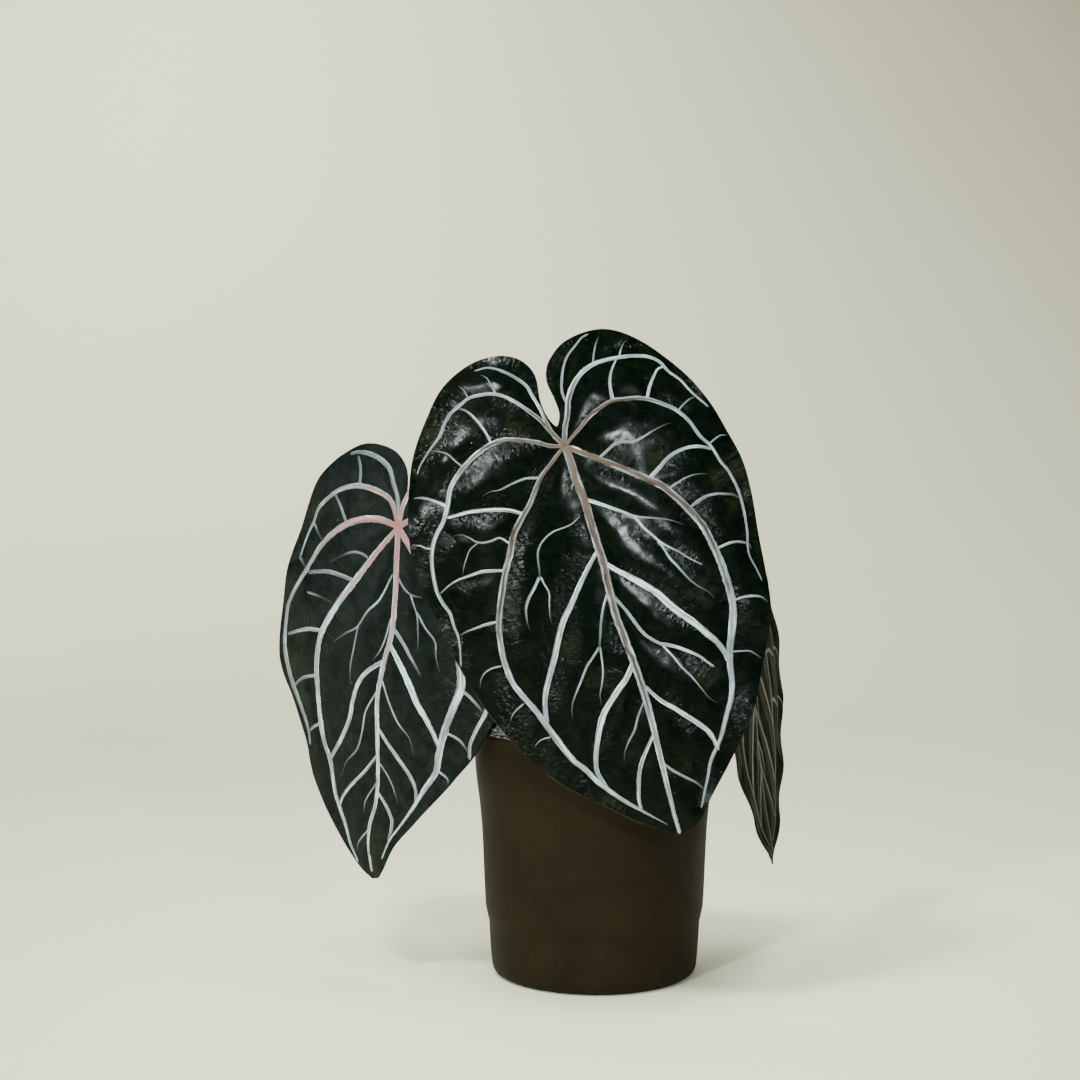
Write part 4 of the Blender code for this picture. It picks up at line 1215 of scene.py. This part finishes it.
# Colours, as linear light
DEEP_GREEN = (0.0006, 0.0017, 0.0009)
GREEN = (0.0020, 0.0044, 0.0023)
# Lighter, bluer greens of the left leaf's upper face: a painted sheen of light over that leaf
SHEEN_TEAL_DEEP = (0.0014, 0.0028, 0.0022)
SHEEN_TEAL_GREEN = (0.0048, 0.0088, 0.0074)
# Greens of the right leaf's upper face, a copy of the face material made to look in shade: painted shade
SHADED_FACE_DEEP = (0.0014, 0.0030, 0.0014)
SHADED_FACE_GREEN = (0.0042, 0.0080, 0.0038)
STREAK_GREEN = (0.0070, 0.0115, 0.0080)
OLIVE_GREEN = (0.0110, 0.0135, 0.0050)
SPECK_PALE = (0.30, 0.33, 0.30)
# Pale colour of the painted highlight on the margin
MARGIN_HIGHLIGHT = (0.100, 0.110, 0.082)
UNDERSIDE_GREEN = (0.105, 0.135, 0.060)
UNDERSIDE_LIGHT = (0.150, 0.180, 0.090)
RIB_GREEN = (0.235, 0.255, 0.130)
RIB_LIGHT = (0.330, 0.345, 0.210)
VEIN_WHITE = (0.510, 0.650, 0.620)
VEIN_BLUE = (0.165, 0.192, 0.208)
VEIN_DULL = (0.045, 0.062, 0.062)
VEIN_LINE = (0.110, 0.125, 0.120)
# Light and streak colours of the right leaf's veins, darkened as painted shade
VEIN_SHADED = (0.190, 0.180, 0.155)
VEIN_SHADED_BROWN = (0.085, 0.076, 0.064)
VEIN_TAN_LIGHT = (0.086, 0.057, 0.038)
VEIN_TAN = (0.070, 0.045, 0.030)
VEIN_TAN_DARK = (0.018, 0.011, 0.007)
VEIN_PINK_DEEP = (0.260, 0.090, 0.100)
VEIN_PINK = (0.350, 0.205, 0.208)
VEIN_PINK_DARK = (0.240, 0.090, 0.098)
STALK_OLIVE = (0.115, 0.120, 0.045)
STALK_BROWN = (0.120, 0.070, 0.040)
SWELLING_GREEN = (0.190, 0.200, 0.085)
POT_OLIVE = (0.0122, 0.0082, 0.0032)
POT_DARK = (0.0074, 0.0049, 0.0019)
POT_DUST = (0.040, 0.032, 0.020)
STAGE_PAINT = (0.655, 0.665, 0.480)
STUDIO_GREY = (0.80, 0.82, 0.80)

# Dark and light colour of what is rough and mottled
EARTH = (0.010, 0.007, 0.005), (0.060, 0.038, 0.022)
BARK = (0.022, 0.011, 0.006), (0.150, 0.080, 0.042)
PERLITE = (0.062, 0.058, 0.054), (0.580, 0.565, 0.540)
CROWN_BARK = (0.040, 0.030, 0.014), (0.150, 0.125, 0.060)
PAPER = (0.070, 0.042, 0.024), (0.190, 0.135, 0.082)
ROOT = (0.085, 0.062, 0.038), (0.215, 0.180, 0.125)


def blade_face_material(name, shine, polished, dull, deep, green):
    """The near-black, mottled green of the upper face, finely streaked away from its veins."""
    mat = Surface(name, polished, shine)
    flat = mat.vector("flat")
    far, gap, seed = mat.vector("lane").parts()
    broad = mat.noise(flat, 4.2, 2, 0.5, 0.4)
    mid = mat.noise(flat, 17, 4, 0.62, 1.2)
    colour = mat.over(deep, green, mid, 0.35, 0.72)
    olive = mat.ranged(broad, 0.54, 0.74) * mat.ranged(mid, 0.30, 0.75)
    colour = mat.mixed(olive * 0.8, colour, OLIVE_GREEN)
    rare = mat.math("GREATER_THAN", mat.cells(flat, 16, "Color").parts()[0], 0.955)
    speck = mat.ranged(mat.cells(flat, 16, "Distance"), 0.020, 0.034, 1.0, 0.0)
    colour = mat.mixed(rare * speck, colour, SPECK_PALE)
    broad_streak = mat.noise(mat.joined(far * 0.62, gap * 0.10, seed), 1, 3, 0.65, 0.35)
    fine_streak = mat.noise(mat.joined(far * 1.5, gap * 0.22, seed), 1, 2, 0.6, 0.3)
    streak = (fine_streak * 0.50 + broad_streak - 0.75) * mat.scalar("streaked")
    streak = streak * mat.ranged(mat.noise(flat, 5, 2, 0.5), 0.40, 0.62, 0.35, 1.0)
    colour = mat.over(colour, STREAK_GREEN, streak, 0.04, 0.16, 0.0, 0.45)
    crinkled = mat.ranged(mat.noise(flat, 5.5, 2, 0.5, 0.3), 0.52, 0.68)
    crinkle = (mat.noise(flat, 62, 3, 0.65, 1.0) - 0.5) * crinkled
    normal = mat.bump(mat.noise(flat, 9, 2, 0.5, 0.6), 0.0016, 0.12)
    normal = mat.bump(streak, 0.00060, 1.0, Normal=normal)
    normal = mat.bump(crinkle, 0.00080, 0.10, Normal=normal)
    return mat.finish(colour, normal, mat.ranged(broad, 0.3, 0.7, polished, dull))


def blade_back_material(name):
    """The paler, matt lower face, with a fine net between its ribs."""
    mat = Surface(name, 0.62, 0.35)
    flat = mat.vector("flat")
    net = mat.ranged(mat.cells(flat, 26, "Distance", "DISTANCE_TO_EDGE"), 0.0, 0.10, 1.0, 0.0)
    near_rib = mat.ranged(mat.scalar("vein_gap"), 0.4, 4.0, 0.35, 0.0)
    mottle = mat.ranged(mat.noise(flat, 9, 4, 0.6, 0.5), 0.3, 0.7)
    colour = mat.mixed(mottle, UNDERSIDE_GREEN, UNDERSIDE_LIGHT)
    colour = mat.mixed(net * 0.35, colour, RIB_GREEN)
    colour = mat.mixed(near_rib, colour, RIB_GREEN)
    normal = mat.bump(net, 0.0006, 0.5)
    return mat.finish(colour, mat.bump(mat.noise(flat, 80, 2), 0.0004, 0.3, Normal=normal))


def margin_material(name):
    """The margin: dark, with a thin pale line, in patches, where its edge faces the lower left: a painted
    highlight.
    """
    mat = Surface(name, 0.62, 0.08)
    patch = mat.ranged(mat.noise(mat.vector("flat"), 6, 3, 0.6), 0.38, 0.62)
    painted_edge_highlight = mat.ranged(mat.scalar("painted_edge_highlight"), 0.55, 0.95) * patch
    return mat.finish(mat.mixed(painted_edge_highlight, DEEP_GREEN, MARGIN_HIGHLIGHT))


def vein_material(name, bright, grey, tint_light, tint_colour, tint_dark, tint_side):
    """White veins with brushed streaks, a tinted middle near the joint and ragged sides."""
    mat = Surface(name, 0.48, 0.20)
    x, far, seed = mat.vector("lane").parts()
    tint, white = mat.scalar("tint"), mat.scalar("white")
    spread_seed = seed * 3.7

    def along(across, length):
        """Noise that is stretched along the vein."""
        return mat.noise(mat.joined(x * across, far * length, spread_seed), 1, 2, 0.6, 0.15)

    drift = mat.noise(mat.joined(far * 0.10, spread_seed, 0.0), 1, 1)
    streak, fine_streak = along(2.1, 0.055), along(3.0, 0.07)
    dull = fine_streak * 0.15 + along(0.5, 0.14) * 0.35 + streak - white * 0.24
    colour = mat.over(bright, grey, dull, 0.47, 0.60)
    colour = mat.over(colour, VEIN_DULL, dull, 0.68, 0.80, 0.0, 0.8)
    colour = mat.over(colour, VEIN_LINE, abs(along(2.8, 0.035) - 0.5), 0.0, 0.030, 0.75, 0.0)
    colour = mat.over(colour, GREEN, white, -0.5, 0.1, 0.85, 0.0)
    from_middle = abs(x + (drift * 1.6 - (0.8 + tint_side)))
    middle = mat.ranged(streak * 2.4 + from_middle - tint * 0.72, 1.15, 1.45, 1.0, 0.0)
    tinted = mat.ranged(tint, 0.0, 0.25) * middle
    tinted = mat.math("MAXIMUM", tinted, mat.ranged(tint, 0.93, 1.0, 0.0, 0.9))
    tan = mat.over(tint_colour, tint_dark, fine_streak, 0.44, 0.58)
    tan = mat.over(tan, tint_light, tint, 0.70, 1.0, 0.0, 0.7)
    tan = mat.over(tan, bright, along(3.4, 0.05), 0.60, 0.72, 0.0, 0.40)
    colour = mat.mixed(tinted, colour, tan)
    side = mat.noise(mat.joined(x, far * 0.8, seed), 1, 3, 0.6) * 0.45 + abs(x)
    colour = mat.over(colour, GREEN, side, 1.02, 1.16)
    return mat.finish(colour, mat.bump(streak, 0.0004, 0.6))


def rib_material(name):
    mat = Surface(name, 0.55, 0.4)
    x, far, seed = mat.vector("lane").parts()
    streak = mat.noise(mat.joined(x * 1.5, far * 0.3, seed), 1, 3, 0.6)
    colour = mat.over(RIB_GREEN, RIB_LIGHT, streak, 0.3, 0.7)
    colour = mat.over(colour, UNDERSIDE_GREEN, abs(x), 0.65, 1.0, 0.0, 0.7)
    return mat.finish(colour, mat.bump(streak, 0.0003, 0.4))


def stalk_material(name):
    """Olive stalks, browner at the foot, with pale fine flecks."""
    mat = Surface(name, 0.45, 0.5)
    far = mat.vector("lane").parts()[1]
    x, y, _ = mat.place().parts()
    flecks = mat.ranged(mat.noise(mat.place(), 260, 4, 0.65), 0.55, 0.72, 0.0, 0.45)
    colour = mat.over(STALK_BROWN, STALK_OLIVE, far, 4.0, 55.0)
    colour = mat.mixed(flecks, colour, SWELLING_GREEN)
    colour = mat.over(colour, SWELLING_GREEN, mat.scalar("tint"), 0.0, 0.6)
    fibre = mat.noise(mat.joined(x, y, far * 0.00004), 900, 3)
    return mat.finish(colour, mat.bump(fibre, 0.0004, 0.35))


def pot_material(name):
    """Matt dark olive-brown moulded plastic, a little dusty and scuffed."""
    mat = Surface(name, 0.65, 0.07)
    place = mat.place()
    cloud = mat.noise(place, 26, 4, 0.6, 0.4)
    colour = mat.over(POT_DARK, POT_OLIVE, cloud, 0.32, 0.70)
    rub = mat.noise(mat.place((1.0, 1.0, 0.12)), 330, 3, 0.7)
    dust = mat.ranged(rub, 0.56, 0.78) * mat.ranged(place.parts()[2], 0.0, 0.05, 0.20, 0.08)
    normal = mat.bump(mat.noise(place, 2600, 2, 0.6), 0.0003, 0.35)
    normal = mat.bump(mat.noise(mat.place((0.2, 0.2, 1.0)), 160, 2), 0.0006, 0.15, Normal=normal)
    return mat.finish(mat.mixed(dust, colour, POT_DUST), normal, mat.ranged(cloud, 0.3, 0.7, 0.55, 0.70))


def grain_material(name, colours, scale, roughness, depth, loose=False):
    """Rough, mottled matter. Each of the loose chips or grains is a little lighter or darker."""
    mat = Surface(name, roughness, 0.3)
    mottle = mat.noise(mat.place((1.0, 0.4, 1.0) if loose else None), scale, 5, 0.7, 0.5)
    if loose:
        blend = mat.ranged(mottle * 0.6 + mat.scalar("shade") * 0.5, 0.25, 0.85)
    else:
        blend = mat.ranged(mottle, 0.30, 0.70)
    return mat.finish(mat.mixed(blend, *colours), mat.bump(mottle, depth, 0.8))


def paper_material(name):
    """Dry sheath: fibrous brown paper."""
    mat = Surface(name, 0.75, 0.25)
    x, far, seed = mat.vector("lane").parts()
    fibre = mat.noise(mat.joined(x * 9.0, far * 0.12, seed), 1, 4, 0.7)
    return mat.finish(mat.mixed(mat.ranged(fibre, 0.3, 0.7), *PAPER), mat.bump(fibre, 0.0004, 0.6))


def stage_material(name):
    mat = Surface(name, 0.85, 0.3)
    darker = tuple(c * 0.97 for c in STAGE_PAINT)
    return mat.finish(mat.mixed(mat.noise(mat.place(), 3.0, 2), darker, STAGE_PAINT))


def make_stage():
    """A pale floor that sweeps up into a backdrop behind the plant, on a wide floor of the same paint."""
    floor_reach, paper_reach = 9.0, 0.95
    back_y, bend_radius, top = 1.6, 0.9, 3.2
    bend_y = back_y - bend_radius
    bend_steps, below_paper = 24, 0.001
    outline = [(-floor_reach, 0.0), (bend_y, 0.0)]
    outline += [
        (bend_y + bend_radius * sin(a), bend_radius - bend_radius * cos(a))
        for a in np.linspace(0, pi / 2, bend_steps)[1:]
    ]
    outline += [(back_y, top)]
    points = [(x, y, z) for y, z in outline for x in (-paper_reach, paper_reach)]
    faces = [(2 * i, 2 * i + 1, 2 * i + 3, 2 * i + 2) for i in range(len(outline) - 1)]
    around = len(points)
    corners = (-floor_reach, floor_reach)
    points += [(x, y, -below_paper) for y in corners for x in corners]
    faces.append((around, around + 1, around + 3, around + 2))
    mesh = bpy.data.meshes.new("floor")
    mesh.from_pydata(points, [], faces)
    mesh.shade_smooth()
    mesh.materials.append(stage_material("stage_paint"))
    floor = new_object("floor", mesh)


# Lights: name, place, aim, size, power, colour, spread in degrees. The key is small and high in front,
# two small ones give the glints on the leaves, and the overhead panel lights the floor.
PLANT = (0.0, -0.03, 0.17)
LIGHTS = [
    ("key", (-0.47, -0.50, 1.11), PLANT, (0.20, 0.20), 1.9, (0.97, 1.0, 0.94), 60),
    ("left_gloss", (-0.62, -1.09, 0.51), PLANT, (0.10, 0.15), 1.35, (0.94, 1.0, 0.96), 50),
    ("right_gloss", (0.27, -1.06, 0.45), PLANT, (0.09, 0.12), 0.70, (0.90, 0.98, 1.0), 50),
    ("side", (-1.30, -0.12, 0.36), PLANT, (0.42, 0.42), 1.6, (0.92, 1.0, 0.98), 180),
    ("overhead", (-0.8, 0.2, 2.9), (-0.8, 0.2, 0.0), (3.6, 4.5), 80, (1.0, 0.99, 0.97), 60),
    ("backdrop", (-0.45, 0.55, 1.50), (-0.45, 1.6, 0.55), (0.5, 0.3), 10, (1.0, 0.99, 0.97), 90),
]
WORLD_STRENGTH = 0.13


def make_lights():
    """Soft studio light, with a weak grey world as fill."""
    for name, place, aim, size, power, colour, spread in LIGHTS:
        light = bpy.data.lights.new(name, "AREA")
        light.shape = "RECTANGLE"
        light.size, light.size_y = size
        light.spread = radians(spread)
        light.energy = power
        light.color = colour
        lamp = new_object(name, light)
        lamp.location = place
        lamp.rotation_euler = (Vector(aim) - Vector(place)).to_track_quat("-Z", "Y").to_euler()
    world = bpy.data.worlds.new("studio")
    world.use_nodes = True
    background = world.node_tree.nodes["Background"]
    background.inputs["Color"].default_value = (*STUDIO_GREY, 1)
    background.inputs["Strength"].default_value = WORLD_STRENGTH
    bpy.context.scene.world = world


def make_camera():
    camera = bpy.data.cameras.new("camera")
    camera.sensor_width = SENSOR_WIDTH
    camera.lens = SENSOR_WIDTH * FOCAL_LENGTH_DRAWN / PICTURE_SIZE
    camera.clip_start = 0.01
    eye = new_object("camera", camera)
    eye.location = EYE
    eye.rotation_euler = (pi / 2 - EYE_PITCH, 0, 0)
    bpy.context.scene.camera = eye


front = drawn_leaf("front", FRONT_JOINT, FRONT_TIP, FRONT_OUTLINE, FRONT_VEINS, 1.0, FRONT_POSE)
left = drawn_leaf("left", LEFT_JOINT, LEFT_TIP, LEFT_OUTLINE, LEFT_VEINS, LEFT_STRETCH, LEFT_POSE)
right = measured_leaf("right", RIGHT_JOINT, RIGHT_POSE)

glossy_face = blade_face_material(
    "blade_upper", shine=0.062, polished=0.14, dull=0.21, deep=DEEP_GREEN, green=GREEN)
# The left leaf's upper face has its own lighter, bluer greens, which are painted sheen
sheen_face = blade_face_material(
    "blade_upper_painted_sheen", shine=0.11, polished=0.26, dull=0.36, deep=SHEEN_TEAL_DEEP, green=SHEEN_TEAL_GREEN)
# The right leaf's upper face is a copy with its sheen almost taken away, so that it looks in shade: painted
# shade
shaded_face = blade_face_material(
    "blade_upper_shaded", shine=0.0035, polished=0.22, dull=0.32, deep=SHADED_FACE_DEEP, green=SHADED_FACE_GREEN)
other_faces = [blade_back_material("blade_lower"), margin_material("blade_margin")]
tan_veins = vein_material("veins_tan", VEIN_WHITE, VEIN_BLUE, VEIN_TAN_LIGHT, VEIN_TAN, VEIN_TAN_DARK, 0.0)
pink_veins = vein_material(
    "veins_pink", VEIN_WHITE, VEIN_BLUE, VEIN_PINK_DEEP, VEIN_PINK, VEIN_PINK_DARK, 0.12)
# The right leaf's veins are a darker copy of the vein material: painted shade
shaded_veins = vein_material("veins_shaded", VEIN_SHADED, VEIN_SHADED_BROWN, VEIN_TAN, VEIN_TAN_DARK, VEIN_TAN_DARK, 0.0)
ribs = rib_material("ribs")
for leaf, face, veins in (
    (front, glossy_face, tan_veins),
    (left, sheen_face, pink_veins),
    (right, shaded_face, shaded_veins),
):
    make_blade(leaf, [face] + other_faces)
    make_strands(leaf, "veins", veins, VEIN_SECTION, VEIN_HEIGHTS, 1.0, 0.0, 1)
    make_strands(leaf, "ribs", ribs, RIB_SECTION, RIB_HEIGHTS, RIB_NARROWER, -SKIN, -1)

stalks = [
    Stalk("front", front, foot=(0, -0.0047), rise=(-0.05, -0.10, 1), rise_length=0.080, reach_length=0.050),
    Stalk("left", left, foot=(-0.0043, 0.0024), rise=(-0.30, 0.20, 1), rise_length=0.060, reach_length=0.040),
    Stalk("right", right, foot=(0.0043, 0.0024), rise=(0.22, 0.20, 1), rise_length=0.050, reach_length=0.035),
]
stalk_skin = stalk_material("stalk_skin")
for stalk in stalks:
    make_stalk(stalk, stalk_skin)

make_pot(pot_material("pot_plastic"))
make_mix(grain_material("mix_earth", EARTH, 420, 0.95, 0.0012))
make_chips(
    "bark_chips", count=190, seed=3, sizes=(0.0020, 0.0052), flatness=0.42, roughness=0.55, apart=0.0034,
    material=grain_material("bark", BARK, 700, 0.85, 0.0008, loose=True))
make_chips(
    "perlite_grains", count=90, seed=5, sizes=(0.0010, 0.0024), flatness=0.85, roughness=0.35, apart=0.0040,
    material=grain_material("perlite", PERLITE, 1500, 0.90, 0.0004, loose=True), extra=heaped_grains())
make_crown(grain_material("crown_bark", CROWN_BARK, 500, 0.75, 0.0008))
make_sheaths(stalks, paper_material("dry_sheath"))
make_roots(grain_material("root_skin", ROOT, 600, 0.70, 0.0004))

make_stage()
make_lights()
make_camera()
